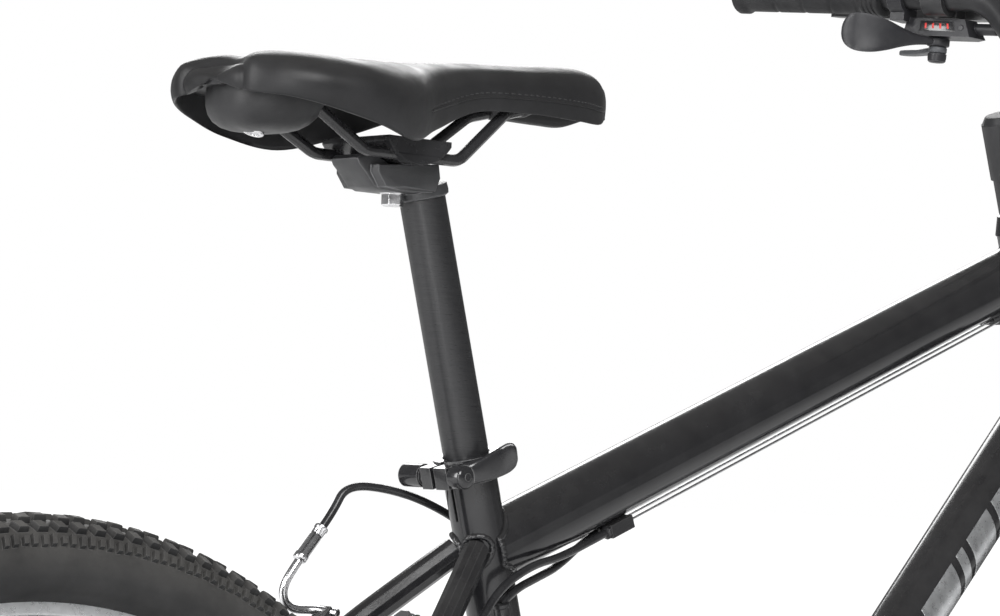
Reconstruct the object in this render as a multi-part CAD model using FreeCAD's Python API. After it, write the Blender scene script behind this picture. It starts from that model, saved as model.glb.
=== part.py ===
import FreeCAD, Part
import math
import os

# A hardtail mountain bike, 26-inch wheels, rim brakes.
# Frame of the part: X forward, Y to the rider's left, Z up, millimetres.
# Origin: on the ground, midway along the bike.

# ---------------------------------------------------------------- driving sizes
WHEELBASE = 1085.0
CHAINSTAY = 430.0
BB_DROP = 32.0
SEAT_ANGLE = 74.0
HEAD_ANGLE = 71.0
SEAT_TUBE_LENGTH = 416.0
HEAD_TUBE_LENGTH = 148.0
FORK_AXLE_TO_CROWN = 430.0
FORK_RAKE = 42.0

TYRE_RADIUS = 331.0
TYRE_WIDTH = 54.0
TYRE_WALL = 3.2
RIM_RADIUS = 286.0
RIM_WIDTH = 25.0
RIM_DEPTH = 20.0
BRAKE_TRACK = 14.0
SPOKES = 32
SPOKE_SIZE = 1.9
FRONT_HUB_WIDTH = 100.0
REAR_HUB_WIDTH = 135.0
AXLE_FRONT = 9.0
AXLE_REAR = 10.0

TOP_TUBE_RISE = 21.26
TOP_TUBE_HEIGHT = 41.0
TOP_TUBE_WIDTH = 35.0
DOWN_TUBE_LOW = 40.0
DOWN_TUBE_HIGH = 46.0
SEAT_TUBE = 31.8
SEAT_POST = 27.2
HEAD_TUBE = 43.0
HEAD_TUBE_WALL = 4.5
TUBE_WALL = 2.0
SHELL_DIAMETER = 40.0
SHELL_WIDTH = 68.0
CHAIN_STAY_TUBE = 17.0
SEAT_STAY_TUBE = 17.0
DROPOUT_THICKNESS = 6.0

POST_EXPOSED = 161.5
POST_LENGTH = 350.0
POST_WALL = 2.4
RAIL = 7.0
RAIL_SPACING = 44.0

STEERER = 28.6
CUP_HEIGHT = 12.0
UPPER_STACK = 14.0
SPACER_STACK = 26.0
STEM_CLAMP_HEIGHT = 40.0
STANCHION = 28.0
LOWER_LEG = 36.0
LEG_SPACING = 124.0
CROWN_OFFSET = 30.0
FORK_TRAVEL = 60.0

BAR = 22.2
BAR_CLAMP = 25.4
BAR_HALF_LENGTH = 314.4
BAR_SWEEP = 10.33
BAR_UPSWEEP = 4.46
GRIP = 31.0
GRIP_LENGTH = 128.0

CRANK_LENGTH = 170.0
CHAINRINGS = (24, 34, 42)
SPROCKETS = (28, 24, 21, 18, 15, 13, 11)
CHAIN_PITCH = 12.7
CHAINLINE = 47.5
RING_STEP = 7.5
SPROCKET_STEP = 5.0
SPROCKET_THICKNESS = 2.0
CHAIN_HEIGHT = 8.0
PULLEY_TEETH = 11
SPINDLE = 17.0

BRAKE_BOSS_RADIUS = 256.0
BRAKE_BOSS_SPACING = 80.0
BRAKE_ARM = 104.0
BOSS_PIN = 8.0
PAD_GAP = 2.4
HOUSING = 5.0
CABLE = 1.6

RUNNING = 0.05
CLEAR = 0.3

# ---------------------------------------------------------------- derived places
V = FreeCAD.Vector
ORIGIN = V(0, 0, 0)
ALONG_X = V(1, 0, 0)
ALONG_Y = V(0, 1, 0)
ALONG_Z = V(0, 0, 1)

REAR_AXLE = V(-WHEELBASE / 2, 0, TYRE_RADIUS)
FRONT_AXLE = V(WHEELBASE / 2, 0, TYRE_RADIUS)
BB = REAR_AXLE + V(math.sqrt(CHAINSTAY ** 2 - BB_DROP ** 2), 0, -BB_DROP)
MIDDLE_RING = CHAINRINGS[1]
MIDDLE_SPROCKET = SPROCKETS[3]


def turned(axis, degrees, place=ORIGIN):
    """A placement: turned about an axis, then moved to a place."""
    return FreeCAD.Placement(place, FreeCAD.Rotation(axis, degrees))


def placed(shape, placement):
    """A copy of a shape, put through a placement."""
    copy = shape.copy()
    copy.transformShape(placement.toMatrix())
    return copy


SEAT_FRAME = turned(ALONG_Y, SEAT_ANGLE - 90, BB)
HEAD_TURN = turned(ALONG_Y, HEAD_ANGLE - 90)
CROWN_RACE = FRONT_AXLE + HEAD_TURN.multVec(V(-FORK_RAKE, 0, 0))
AXLE_DROP = -math.sqrt(FORK_AXLE_TO_CROWN ** 2 - FORK_RAKE ** 2)
CROWN_RACE = CROWN_RACE - HEAD_TURN.multVec(V(0, 0, AXLE_DROP))
HEAD_FRAME = turned(ALONG_Y, HEAD_ANGLE - 90, CROWN_RACE)
STEM_BASE = CUP_HEIGHT + HEAD_TUBE_LENGTH + UPPER_STACK + SPACER_STACK


def mirrored(shape):
    """The same shape on the other side of the bike."""
    return shape.mirror(ORIGIN, ALONG_Y)


def both(shape):
    """A shape and its mirror image, as two solids."""
    return Part.makeCompound(shape.Solids + mirrored(shape).Solids)


# ---------------------------------------------------------------- shape helpers
def rod(start, end, diameter):
    """A solid round bar from start to end."""
    way = end - start
    return Part.makeCylinder(diameter / 2, way.Length, start, way)


def taper(start, end, first, last):
    """A solid cone frustum from start to end."""
    way = end - start
    return Part.makeCone(first / 2, last / 2, way.Length, start, way)


def pipe(start, end, outer, inner):
    """A hollow round tube from start to end."""
    return rod(start, end, outer).cut(rod(start, end, inner))


def prism(points, thickness):
    """A polygon of points, extruded by a vector."""
    face = Part.Face(Part.makePolygon(points + [points[0]]))
    return face.extrude(thickness)


def box(low, high):
    """A box between two corners."""
    size = high - low
    return Part.makeBox(size.x, size.y, size.z, low)


def side_plate(outline, low_y, high_y):
    """A plate with an (x, z) outline, between two values of y."""
    points = [V(x, low_y, z) for x, z in outline]
    return prism(points, V(0, high_y - low_y, 0))


def hexagon(centre, axis, width, height):
    """A hexagonal prism, width across its corners."""
    across = axis.cross(ALONG_X)
    if across.Length < 0.1:
        across = axis.cross(ALONG_Z)
    first = across.normalize() * (width / 2)
    points = []
    for corner in range(6):
        turn = FreeCAD.Rotation(axis, 60 * corner)
        points.append(centre + turn.multVec(first))
    return prism(points, V(axis).normalize() * height)


def wheel_ring(section):
    """A closed (radius, y) section, revolved about the Y axis."""
    points = [V(radius, y, 0) for radius, y in section]
    face = Part.Face(Part.makePolygon(points + [points[0]]))
    return face.revolve(ORIGIN, ALONG_Y, 360)


def route(points, share=0.45, radius=None):
    """Straight runs joined by tangent arcs: ("run", vector) and ("arc", centre, axis, degrees)."""
    legs = []
    here = points[0]
    for index in range(1, len(points) - 1):
        corner = points[index]
        into = (corner - points[index - 1]).normalize()
        out = (points[index + 1] - corner).normalize()
        turn = into.getAngle(out)
        shorter = min((corner - points[index - 1]).Length, (points[index + 1] - corner).Length)
        trim = share * shorter
        if radius:
            trim = min(trim, radius * math.tan(turn / 2))
        bend = trim / math.tan(turn / 2)
        axis = into.cross(out).normalize()
        start = corner - into * trim
        legs.append(("run", start - here))
        legs.append(("arc", start + axis.cross(into) * bend, axis, math.degrees(turn)))
        here = corner + out * trim
    legs.append(("run", points[-1] - here))
    return legs


def swept(points, diameter, sides=0, share=0.45, radius=None):
    """A rod along a route: round, or with flat sides where sides is given."""
    way = (points[1] - points[0]).normalize()
    if sides:
        across = way.cross(ALONG_Y)
        if across.Length < 0.1:
            across = way.cross(ALONG_Z)
        first = across.normalize() * (diameter / 2)
        turns = [FreeCAD.Rotation(way, 360 * n / sides) for n in range(sides)]
        corners = [points[0] + turn.multVec(first) for turn in turns]
        face = Part.Face(Part.makePolygon(corners + [corners[0]]))
    else:
        face = Part.Face(Part.Wire(Part.makeCircle(diameter / 2, points[0], way)))
    pieces = []
    for leg in route(points, share, radius):
        if leg[0] == "run":
            pieces.append(face.extrude(leg[1]))
            face.translate(leg[1])
        else:
            pieces.append(face.revolve(leg[1], leg[2], leg[3]))
            face.rotate(leg[1], leg[2], leg[3])
    return pieces[0].fuse(pieces[1:])


def loft(sections):
    """A ruled solid through closed polygons with as many points each."""
    wires = [Part.makePolygon(points + [points[0]]) for points in sections]
    return Part.makeLoft(wires, True, True)


def moved(shape, way):
    """A copy of a shape, moved by a vector."""
    copy = shape.copy()
    copy.translate(way)
    return copy


def group(*shapes):
    """Solids of one node."""
    solids = []
    for shape in shapes:
        solids = solids + shape.Solids
    return Part.makeCompound(solids)


# ---------------------------------------------------------------- frame tubes
HEAD_BOTTOM = HEAD_FRAME.multVec(V(0, 0, CUP_HEIGHT))
HEAD_TOP = HEAD_FRAME.multVec(V(0, 0, CUP_HEIGHT + HEAD_TUBE_LENGTH))
SEAT_TOP = SEAT_FRAME.multVec(V(0, 0, SEAT_TUBE_LENGTH))
TOP_JOIN_DEPTH = 25.0
TOP_END = HEAD_FRAME.multVec(V(0, 0, CUP_HEIGHT + HEAD_TUBE_LENGTH - TOP_JOIN_DEPTH))
TOP_FRAME = turned(ALONG_Y, -TOP_TUBE_RISE, TOP_END)
DOWN_JOIN_DEPTH = 28.5
DOWN_END = HEAD_FRAME.multVec(V(0, 0, CUP_HEIGHT + DOWN_JOIN_DEPTH))
DOWN_START = BB + V(3, 0, -5.5)
DOWN_WAY = (DOWN_END - DOWN_START).normalize()
TUBE_REACH = 620.0
STOP_BACK = 456.0
STOP_FRONT = 44.0
STOP_BACK_LENGTH = 20.0
STOP_FRONT_LENGTH = 13.0
STOP_LANES = (-8.0, 0.0, 8.0)
CABLE_DROP = TOP_TUBE_HEIGHT / 2 + 3.2
SEAT_DEPTH = 8.0


def head_tube_outside():
    return rod(HEAD_BOTTOM, HEAD_TOP, HEAD_TUBE)


def seat_tube_outside():
    return rod(BB, SEAT_TOP, SEAT_TUBE)


def shell_outside():
    half = V(0, SHELL_WIDTH / 2, 0)
    return rod(BB - half, BB + half, SHELL_DIAMETER)


def head_tube():
    """Straight head tube with a slightly thicker ring at each end."""
    inner = HEAD_TUBE - 2 * HEAD_TUBE_WALL
    return head_tube_outside().cut(rod(HEAD_BOTTOM, HEAD_TOP, inner))


def oval(height, width, length):
    """A flat-sided oval bar along -X, its front end at the origin."""
    flat = (height - width) / 2
    block = box(V(-length, -width / 2, -flat), V(0, width / 2, flat))
    ends = [rod(V(-length, 0, z), V(0, 0, z), width) for z in (-flat, flat)]
    return block.fuse(ends).removeSplitter()


def cable_lane(along, lane):
    """A point below the top tube, counted back from its front end."""
    return TOP_FRAME.multVec(V(-along, lane, -CABLE_DROP))


def top_tube():
    """Hydroformed top tube, mitred at both ends, with a row of welded cable stops at each end."""
    outside = oval(TOP_TUBE_HEIGHT, TOP_TUBE_WIDTH, TUBE_REACH)
    inside = oval(TOP_TUBE_HEIGHT - 2 * TUBE_WALL, TOP_TUBE_WIDTH - 2 * TUBE_WALL, TUBE_REACH)
    tube = placed(outside.cut(inside), TOP_FRAME)
    behind = box(V(-TUBE_REACH, -TOP_TUBE_WIDTH, -TUBE_REACH), V(0, TOP_TUBE_WIDTH, TUBE_REACH))
    tube = tube.cut(head_tube_outside()).cut(placed(behind, SEAT_FRAME)).cut(seat_tube_outside())
    floor = TOP_TUBE_HEIGHT / 2
    half_lanes = STOP_LANES[2] + 4.5
    for along, length, mouth in ((STOP_BACK, STOP_BACK_LENGTH, 1), (STOP_FRONT, STOP_FRONT_LENGTH, -1)):
        web = box(V(-along - length, -half_lanes, -floor - 7), V(-along, half_lanes, -floor + 1))
        web = placed(web, TOP_FRAME)
        near = along + length if mouth > 0 else along
        for lane in STOP_LANES:
            seat = rod(cable_lane(near, lane), cable_lane(near - SEAT_DEPTH * mouth, lane), HOUSING)
            wire = rod(cable_lane(along - 1, lane), cable_lane(along + length + 1, lane), CABLE + 0.8)
            web = web.cut(seat).cut(wire)
        tube = tube.fuse(web)
    return tube


BOTTLE_BOSSES = (330.0, 394.0)
BOSS_BORE = 4.2
BOSS_OUTSIDE = 8.0
BOSS_DEPTH = 10.0
BOSS_PROUD = 1.5
DOWN_LENGTH = (DOWN_END - DOWN_START).Length


def down_tube_radius(along):
    """Outside radius of the tapered down tube, counted from the bottom bracket."""
    return (DOWN_TUBE_LOW + (DOWN_TUBE_HIGH - DOWN_TUBE_LOW) * along / DOWN_LENGTH) / 2


def bottle_boss(along):
    """Centre of a bottle-cage boss's mouth, on the upper side of the down tube."""
    up = DOWN_WAY.cross(ALONG_Y)
    return DOWN_START + DOWN_WAY * along + up * (down_tube_radius(along) + BOSS_PROUD)


def down_tube():
    """Tapered down tube with two threaded bottle-cage bosses on its upper side."""
    tube = taper(DOWN_START, DOWN_END, DOWN_TUBE_LOW, DOWN_TUBE_HIGH)
    hollow = taper(DOWN_START, DOWN_END, DOWN_TUBE_LOW - 2 * TUBE_WALL, DOWN_TUBE_HIGH - 2 * TUBE_WALL)
    tube = tube.cut(hollow)
    up = DOWN_WAY.cross(ALONG_Y)
    for along in BOTTLE_BOSSES:
        mouth = bottle_boss(along)
        bottom = mouth - up * BOSS_DEPTH
        tube = tube.fuse(rod(bottom, mouth, BOSS_OUTSIDE)).cut(rod(bottom - up, mouth + up, BOSS_BORE))
    below = placed(box(V(-60, -40, -80), V(60, 40, CUP_HEIGHT)), HEAD_FRAME)
    tube = tube.cut(head_tube_outside()).cut(shell_outside()).cut(seat_tube_outside()).cut(below)
    return biggest(tube)


def biggest(shape):
    """The largest solid of a cut, without the slivers that a mitre leaves."""
    return max(shape.Solids, key=lambda solid: solid.Volume)


SEAT_SLOT = 36.0


def seat_tube():
    """Seat tube, bored for the post, with a relief slot at the rear of its top."""
    bore = SEAT_POST + 2 * RUNNING
    tube = pipe(BB, SEAT_TOP, SEAT_TUBE, bore)
    slot = box(V(-SEAT_TUBE, -1.2, SEAT_TUBE_LENGTH - SEAT_SLOT), V(0, 1.2, SEAT_TUBE_LENGTH + 1))
    return biggest(tube.cut(placed(slot, SEAT_FRAME)).cut(shell_outside()))


def bottom_bracket():
    """The welded shell, and the two bearing cups screwed into it."""
    cup = SHELL_DIAMETER - 6
    half = SHELL_WIDTH / 2
    side = V(0, half, 0)
    shell = pipe(BB - side, BB + side, SHELL_DIAMETER, cup)
    cups = []
    for sign in (-1, 1):
        inner = BB + V(0, sign * (half - 20), 0)
        face = BB + V(0, sign * half, 0)
        lip = BB + V(0, sign * (half + 3), 0)
        whole = rod(inner, face, cup).fuse(rod(face, lip, SHELL_DIAMETER - 1))
        cups.append(whole.cut(rod(inner, lip, SPINDLE + 2 * RUNNING)))
    return group(shell, *cups)


STAY_END_Y = 66.0
DROPOUT_INNER = REAR_HUB_WIDTH / 2
CHAIN_STAY_POINTS = [V(12, 19, 3), V(-50, 25, 2), V(-122, 42, -0.5), V(-389, STAY_END_Y, 25.1)]
SEAT_STAY_KNEE = V(-186, 47.8, 280.7)
SEAT_STAY_TOP = V(-112, 9, 344)
SEAT_STAY_END = V(-401, STAY_END_Y, 62.2)
STAY_SIDES = 12


def rear_point(offset):
    """A place given from the bottom bracket."""
    return BB + offset


def chain_stays():
    """Two stays that bend outwards round the tyre, with a short bridge behind the shell."""
    stay = swept([rear_point(p) for p in CHAIN_STAY_POINTS], CHAIN_STAY_TUBE, sides=STAY_SIDES)
    bridge = rod(rear_point(V(-58, -29, 2)), rear_point(V(-58, 29, 2)), 10)
    stays = stay.fuse([mirrored(stay), bridge]).cut(shell_outside()).cut(dropout_blanks())
    return biggest(stays)


STAY_LOW = rear_point(SEAT_STAY_END)
STAY_HIGH = rear_point(SEAT_STAY_KNEE)
STAY_RUN = V(STAY_HIGH.x - STAY_LOW.x, 0, STAY_HIGH.z - STAY_LOW.z).normalize()
BRAKE_OUT_REAR = V(-STAY_RUN.z, 0, STAY_RUN.x)


def along_stay(radius):
    """The point of the seat stay's centreline, seen from the side, at a distance from the axle."""
    start = V(STAY_LOW.x, 0, STAY_LOW.z)
    back = start - REAR_AXLE_FLAT
    half_b = back.dot(STAY_RUN)
    reach = -half_b + math.sqrt(half_b ** 2 - back.dot(back) + radius ** 2)
    return start + STAY_RUN * reach


REAR_AXLE_FLAT = V(REAR_AXLE.x, 0, REAR_AXLE.z)
REAR_BOSS = along_stay(BRAKE_BOSS_RADIUS)
REAR_BRAKE_TURN = FreeCAD.Rotation(BRAKE_OUT_REAR, V(0, -1, 0), STAY_RUN, "XYZ")
REAR_BRAKE_FRAME = FreeCAD.Placement(REAR_BOSS, REAR_BRAKE_TURN)
REAR_ARM_BACK = 10.0
BRAKE_ARM_THICKNESS = 11.0
BOSS_Y = BRAKE_BOSS_SPACING / 2


def boss_pin(back, base):
    """A brake boss in the brake's own frame: X along the pin, Y across, Z away from the axle."""
    foot = rod(V(base, BOSS_Y, 0), V(back - CLEAR, BOSS_Y, 0), 15)
    pin = rod(V(base, BOSS_Y, 0), V(back + BRAKE_ARM_THICKNESS + CLEAR, BOSS_Y, 0), BOSS_PIN)
    front = back + BRAKE_ARM_THICKNESS
    head = rod(V(front + CLEAR, BOSS_Y, 0), V(front + 5, BOSS_Y, 0), 11)
    return foot.fuse([pin, head])


def seat_stays():
    """Two bent stays that splay from the seat tube round the tyre, with a bridge and the brake bosses."""
    points = [rear_point(p) for p in (SEAT_STAY_TOP, SEAT_STAY_KNEE, SEAT_STAY_END)]
    stay = swept(points, SEAT_STAY_TUBE, sides=STAY_SIDES)
    foot = placed(mirrored(boss_pin(REAR_ARM_BACK, -4)), REAR_BRAKE_FRAME)
    web = box(V(-4, -BOSS_Y - 14, -5), V(4, -BOSS_Y, 5))
    stay = stay.fuse([foot, placed(web, REAR_BRAKE_FRAME)])
    bridge_y = 44.5
    bridge_at = along_stay(TYRE_RADIUS + 12)
    bridge = rod(bridge_at - V(0, bridge_y, 0), bridge_at + V(0, bridge_y, 0), 12)
    stays = stay.fuse([mirrored(stay), bridge]).cut(seat_tube_outside()).cut(dropout_blanks())
    return biggest(stays)


HANGER_BOLT = V(-9, 0, -28)
EYELET = V(-16, 0, 15)
EYELET_BORE = 4.2


def dropout_outline():
    """Outline of a rear dropout round the axle, from the axle."""
    return [(27.2, 37.7), (6, 18), (-10, 22), (-22, 20), (-21, 8), (-13, 2), (-14, -12), (-4, -15),
            (22, -13), (48.5, -13.8), (49.5, -1.8), (26, 2), (22, 12), (37.2, 27.9)]


def dropout_blank(sign):
    """One dropout plate with no slot."""
    low = DROPOUT_INNER
    outline = [(REAR_AXLE.x + x, REAR_AXLE.z + z) for x, z in dropout_outline()]
    plate = side_plate(outline, low, low + DROPOUT_THICKNESS)
    return plate if sign > 0 else mirrored(plate)


def dropout_blanks():
    return Part.makeCompound([dropout_blank(1), dropout_blank(-1)])


def dropouts():
    """Two slotted plates with rack eyelets, the right one with the derailleur hanger."""
    plates = []
    for sign in (1, -1):
        plate = dropout_blank(sign)
        low = DROPOUT_INNER
        if sign < 0:
            tab = [(-14, -8), (-19, -28), (-14, -37), (-4, -37), (1, -28), (4, -14)]
            tab = [(REAR_AXLE.x + x, REAR_AXLE.z + z) for x, z in tab]
            tab = side_plate(tab, low, low + DROPOUT_THICKNESS)
            plate = plate.fuse(mirrored(tab))
        inner = sign * (low - 1)
        outer = sign * (low + DROPOUT_THICKNESS + 1)
        hole = rod(REAR_AXLE + EYELET + V(0, inner, 0), REAR_AXLE + EYELET + V(0, outer, 0), EYELET_BORE)
        axle = rod(REAR_AXLE + V(0, inner, 0), REAR_AXLE + V(0, outer, 0), AXLE_REAR)
        half = AXLE_REAR / 2
        mouth = [(-half, 0), (half, 0), (half, -20), (-half, -20)]
        mouth = [(REAR_AXLE.x + x, REAR_AXLE.z + z) for x, z in mouth]
        mouth = side_plate(mouth, low - 1, low + DROPOUT_THICKNESS + 1)
        mouth = mouth if sign > 0 else mirrored(mouth)
        plate = plate.cut(hole).cut(axle).cut(mouth)
        if sign < 0:
            bolt = rod(REAR_AXLE + HANGER_BOLT + V(0, inner, 0), REAR_AXLE + HANGER_BOLT + V(0, outer, 0), 8)
            plate = plate.cut(bolt)
        plates.append(biggest(plate))
    return Part.makeCompound(plates)


def headset_cups():
    """Lower and upper bearing cups, with skirts that fill the head tube's ends."""
    skirt = HEAD_TUBE - 2 * HEAD_TUBE_WALL
    top = CUP_HEIGHT + HEAD_TUBE_LENGTH
    bore = STEERER + 2 * RUNNING
    lower = rod(V(0, 0, 0.4), V(0, 0, CUP_HEIGHT), HEAD_TUBE + 2)
    lower = lower.fuse(rod(V(0, 0, CUP_HEIGHT), V(0, 0, CUP_HEIGHT + 14), skirt))
    upper = taper(V(0, 0, top), V(0, 0, top + UPPER_STACK - 0.4), HEAD_TUBE + 2, STEERER + 9)
    upper = upper.fuse(rod(V(0, 0, top - 14), V(0, 0, top), skirt))
    cups = [cup.cut(rod(V(0, 0, -1), V(0, 0, top + 20), bore)) for cup in (lower, upper)]
    return placed(group(*cups), HEAD_FRAME)


COLLAR_HEIGHT = 15.0
COLLAR_WALL = 4.0
EAR_REACH = 29.0
EAR_GAP = 3.0
SKEWER = 5.0
COLLAR_MIDDLE = SEAT_TUBE_LENGTH - 6.5


def seat_collar():
    """Split seat collar with two ears at the rear, its skewer and the knob nut on the left."""
    outer = SEAT_TUBE + 2 * COLLAR_WALL
    low = V(0, 0, COLLAR_MIDDLE - COLLAR_HEIGHT / 2)
    high = V(0, 0, COLLAR_MIDDLE + COLLAR_HEIGHT / 2)
    ring = rod(low, high, outer)
    ears = box(V(-EAR_REACH, -12.3, low.z + 1), V(-12, 10, high.z - 1))
    lip_top = V(0, 0, SEAT_TUBE_LENGTH)
    ring = ring.fuse(ears).cut(rod(low, lip_top, SEAT_TUBE)).cut(rod(low, high, SEAT_POST + 1.2))
    ring = ring.cut(box(V(-EAR_REACH - 1, -EAR_GAP / 2, 0), V(-8, EAR_GAP / 2, SEAT_TUBE_LENGTH + 20)))
    hinge = V(-EAR_REACH + 6, 0, COLLAR_MIDDLE)
    ring = ring.cut(rod(hinge - V(0, 20, 0), hinge + V(0, 20, 0), SKEWER))
    skewer = rod(hinge - V(0, 24, 0), hinge + V(0, 22, 0), SKEWER)
    nut = rod(hinge + V(0, 10, 0), hinge + V(0, 13, 0), 11)
    nut = nut.fuse(rod(hinge + V(0, 13, 0), hinge + V(0, 29, 0), 14))
    nut = nut.cut(skewer)
    return placed(group(ring, skewer, nut), SEAT_FRAME)


LEVER_HINGE = SEAT_FRAME.multVec(V(-EAR_REACH + 6, 0, COLLAR_MIDDLE))
LEVER_LENGTH = 46.0


def seat_qr_lever():
    """Quick-release lever: a round cam head on the skewer and a flat handle folded forward."""
    hinge = V(-EAR_REACH + 6, 0, COLLAR_MIDDLE)
    cam = rod(hinge + V(0, -12.6, 0), hinge + V(0, -23.5, 0), 14)
    cam = cam.cut(rod(hinge + V(0, -9, 0), hinge + V(0, -24.6, 0), SKEWER + 2 * RUNNING))
    strip = [V(2, -18, 3), V(18, -24, 5), V(33, -24.5, 12), V(LEVER_LENGTH, -27.5, 26)]
    strip = [hinge + p for p in strip]
    half = 7.0
    sections = []
    for index, centre in enumerate(strip):
        tall = V(-0.35, 0, 0.94) * (half - 0.8 * index)
        wide = V(0.4, 1.6, 0)
        low, high = centre - tall, centre + tall
        sections.append([low - wide, low + wide, high + wide, high - wide])
    handle = loft(sections)
    lever = cam.fuse(handle)
    lever = lever.cut(rod(hinge + V(0, -9, 0), hinge + V(0, -24.6, 0), SKEWER + 2 * RUNNING))
    return placed(biggest(lever), SEAT_FRAME)


# ---------------------------------------------------------------- seat post and saddle
POST_TOP = SEAT_FRAME.multVec(V(0, 0, SEAT_TUBE_LENGTH + POST_EXPOSED))
POST_BOTTOM = SEAT_FRAME.multVec(V(0, 0, SEAT_TUBE_LENGTH + POST_EXPOSED - POST_LENGTH))
TILT_RADIUS = 30.0
TILT_CENTRE = POST_TOP + V(-27.1, 0, 39)
RAIL_DROP = 24.5
HEAD_HALF = 17.0
CRADLE_HALF = 29.0


def seatpost():
    """Straight post, open at the bottom, closed where the clamp head is fixed."""
    return pipe(POST_BOTTOM, POST_TOP, SEAT_POST, SEAT_POST - 2 * POST_WALL)


def seat_clamp_head():
    """Cast micro-adjust head on the post, with the clamp bolt's head below its rear."""
    outline = [(-46, -24), (-44, -32), (-23, -43), (0, -44), (27, -39), (44, -34), (42, -22)]
    block = side_plate([(TILT_CENTRE.x + x, TILT_CENTRE.z + z) for x, z in outline], -HEAD_HALF, HEAD_HALF)
    low = POST_TOP + (POST_BOTTOM - POST_TOP).normalize() * 4
    collar = rod(low, POST_TOP + V(0, 0, 6), SEAT_POST + 5).cut(rod(POST_BOTTOM, POST_TOP, SEAT_POST))
    block = block.cut(rod(POST_BOTTOM, POST_TOP, SEAT_POST)).fuse(collar)
    scoop = rod(TILT_CENTRE - V(0, 40, 0), TILT_CENTRE + V(0, 40, 0), 2 * (TILT_RADIUS + CLEAR))
    block = biggest(block.cut(scoop))
    under = TILT_CENTRE + V(6, 0, -43.5)
    washer = rod(under + V(0, 0, 3), under + V(0, 0, -1.5), 14).cut(block)
    bolt = hexagon(under + V(0, 0, -1.5), V(0, 0, -1), 12, 7)
    return group(block, biggest(washer), bolt)


def rail(side):
    """One saddle rail: up into the base at both ends, straight in the clamp."""
    y = side * RAIL_SPACING / 2
    z = TILT_CENTRE.z - RAIL_DROP
    x = TILT_CENTRE.x
    points = [V(x - 92, y * 1.15, z + 27), V(x - 74, y * 1.1, z + 20), V(x - 36, y, z), V(x + 36, y, z)]
    points = points + [V(x + 78, y * 0.72, z + 32), V(x + 106, y * 0.58, z + 39)]
    return swept(points, RAIL, sides=10, radius=16)


def saddle_rails():
    """Both rails and the two-piece cradle that grips them."""
    rails = [rail(1), rail(-1)]
    low = TILT_CENTRE + V(-24, -CRADLE_HALF, -TILT_RADIUS - 2)
    high = TILT_CENTRE + V(24, CRADLE_HALF, -RAIL_DROP + 9.5)
    disc = rod(TILT_CENTRE - V(0, 40, 0), TILT_CENTRE + V(0, 40, 0), 2 * TILT_RADIUS)
    cradle = box(low, high).common(disc).cut(rails[0]).cut(rails[1])
    split = box(low - V(9, 9, 9), V(high.x + 9, high.y + 9, TILT_CENTRE.z - RAIL_DROP))
    lower = cradle.common(split)
    upper = cradle.cut(split)
    return group(rails[0], rails[1], biggest(lower), biggest(upper))


# Each station of the saddle: place along X, half width, then the heights of its top, its widest line,
# its skirt's edge and the roof of its underside.
SADDLE_STATIONS = [
    (-432, 40, 906, 899, 893, 897),
    (-420, 62, 911, 898, 887, 899),
    (-396, 73, 914, 897, 880, 899.5),
    (-362, 76, 915, 895, 876, 899.5),
    (-330, 64, 917, 894, 875, 901),
    (-296, 43, 921, 900, 884, 904),
    (-255, 30, 926, 908, 892, 908),
    (-205, 24, 928, 912, 898, 913.5),
    (-158, 21, 928, 914, 903, 914),
    (-136, 15, 925, 914, 907, 914),
]
SKIRT = 5.0
BASE_THICKNESS = 5.2


def saddle_cover_section(station):
    """Closed outline of the cover at a station: crown, skirts and the arched underside."""
    x, half, top, wide, low, roof = station
    inner = half - SKIRT
    side = [(0.45 * half, top - 1.5), (0.84 * half, top - 7), (half, wide), (0.95 * half, low),
            (inner, low + 0.5), (inner - 1.5, roof)]
    return [V(x, 0, top)] + [V(x, -y, z) for y, z in side] + [V(x, y, z) for y, z in reversed(side)]


def saddle_base_section(station):
    """Closed outline of the plastic base at a station, under the arch of the cover."""
    x, half, top, wide, low, roof = station
    reach = half - SKIRT - 2
    high = roof - CLEAR
    floor = high - BASE_THICKNESS
    return [V(x, -reach, high), V(x, reach, high), V(x, reach * 0.9, floor), V(x, -reach * 0.9, floor)]


def saddle_cover():
    """Padded vinyl cover, widest at the sit bones, with a long narrow nose."""
    return loft([saddle_cover_section(station) for station in SADDLE_STATIONS])


def saddle_base():
    """Moulded plastic base under the cover, with a bowl at the tail."""
    plate = loft([saddle_base_section(station) for station in SADDLE_STATIONS[1:-1]])
    x = SADDLE_STATIONS[2][0]
    top = SADDLE_STATIONS[2][5] - BASE_THICKNESS + 0.7
    rim = [V(x - 24, -30, top), V(x + 16, -17, top), V(x + 16, 17, top), V(x - 24, 30, top)]
    low = top - 25
    floor = [V(x - 20, -15, low), V(x - 2, -11, low), V(x - 2, 11, low), V(x - 20, 15, low)]
    return plate.fuse(loft([rim, floor]))


# ---------------------------------------------------------------- fork and cockpit
CROWN_DEPTH = 38.0
CROWN_FRONT = 16.0
LEG_Y = LEG_SPACING / 2
LEG_TOP = -115.0
LEG_BOTTOM = AXLE_DROP + 14
ARCH_FRONT = CROWN_OFFSET + LOWER_LEG / 2 - 1
FRONT_DROPOUT_INNER = FRONT_HUB_WIDTH / 2
STANCHION_LOW = -230.0
WAIST = LEG_TOP - 190.0


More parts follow.
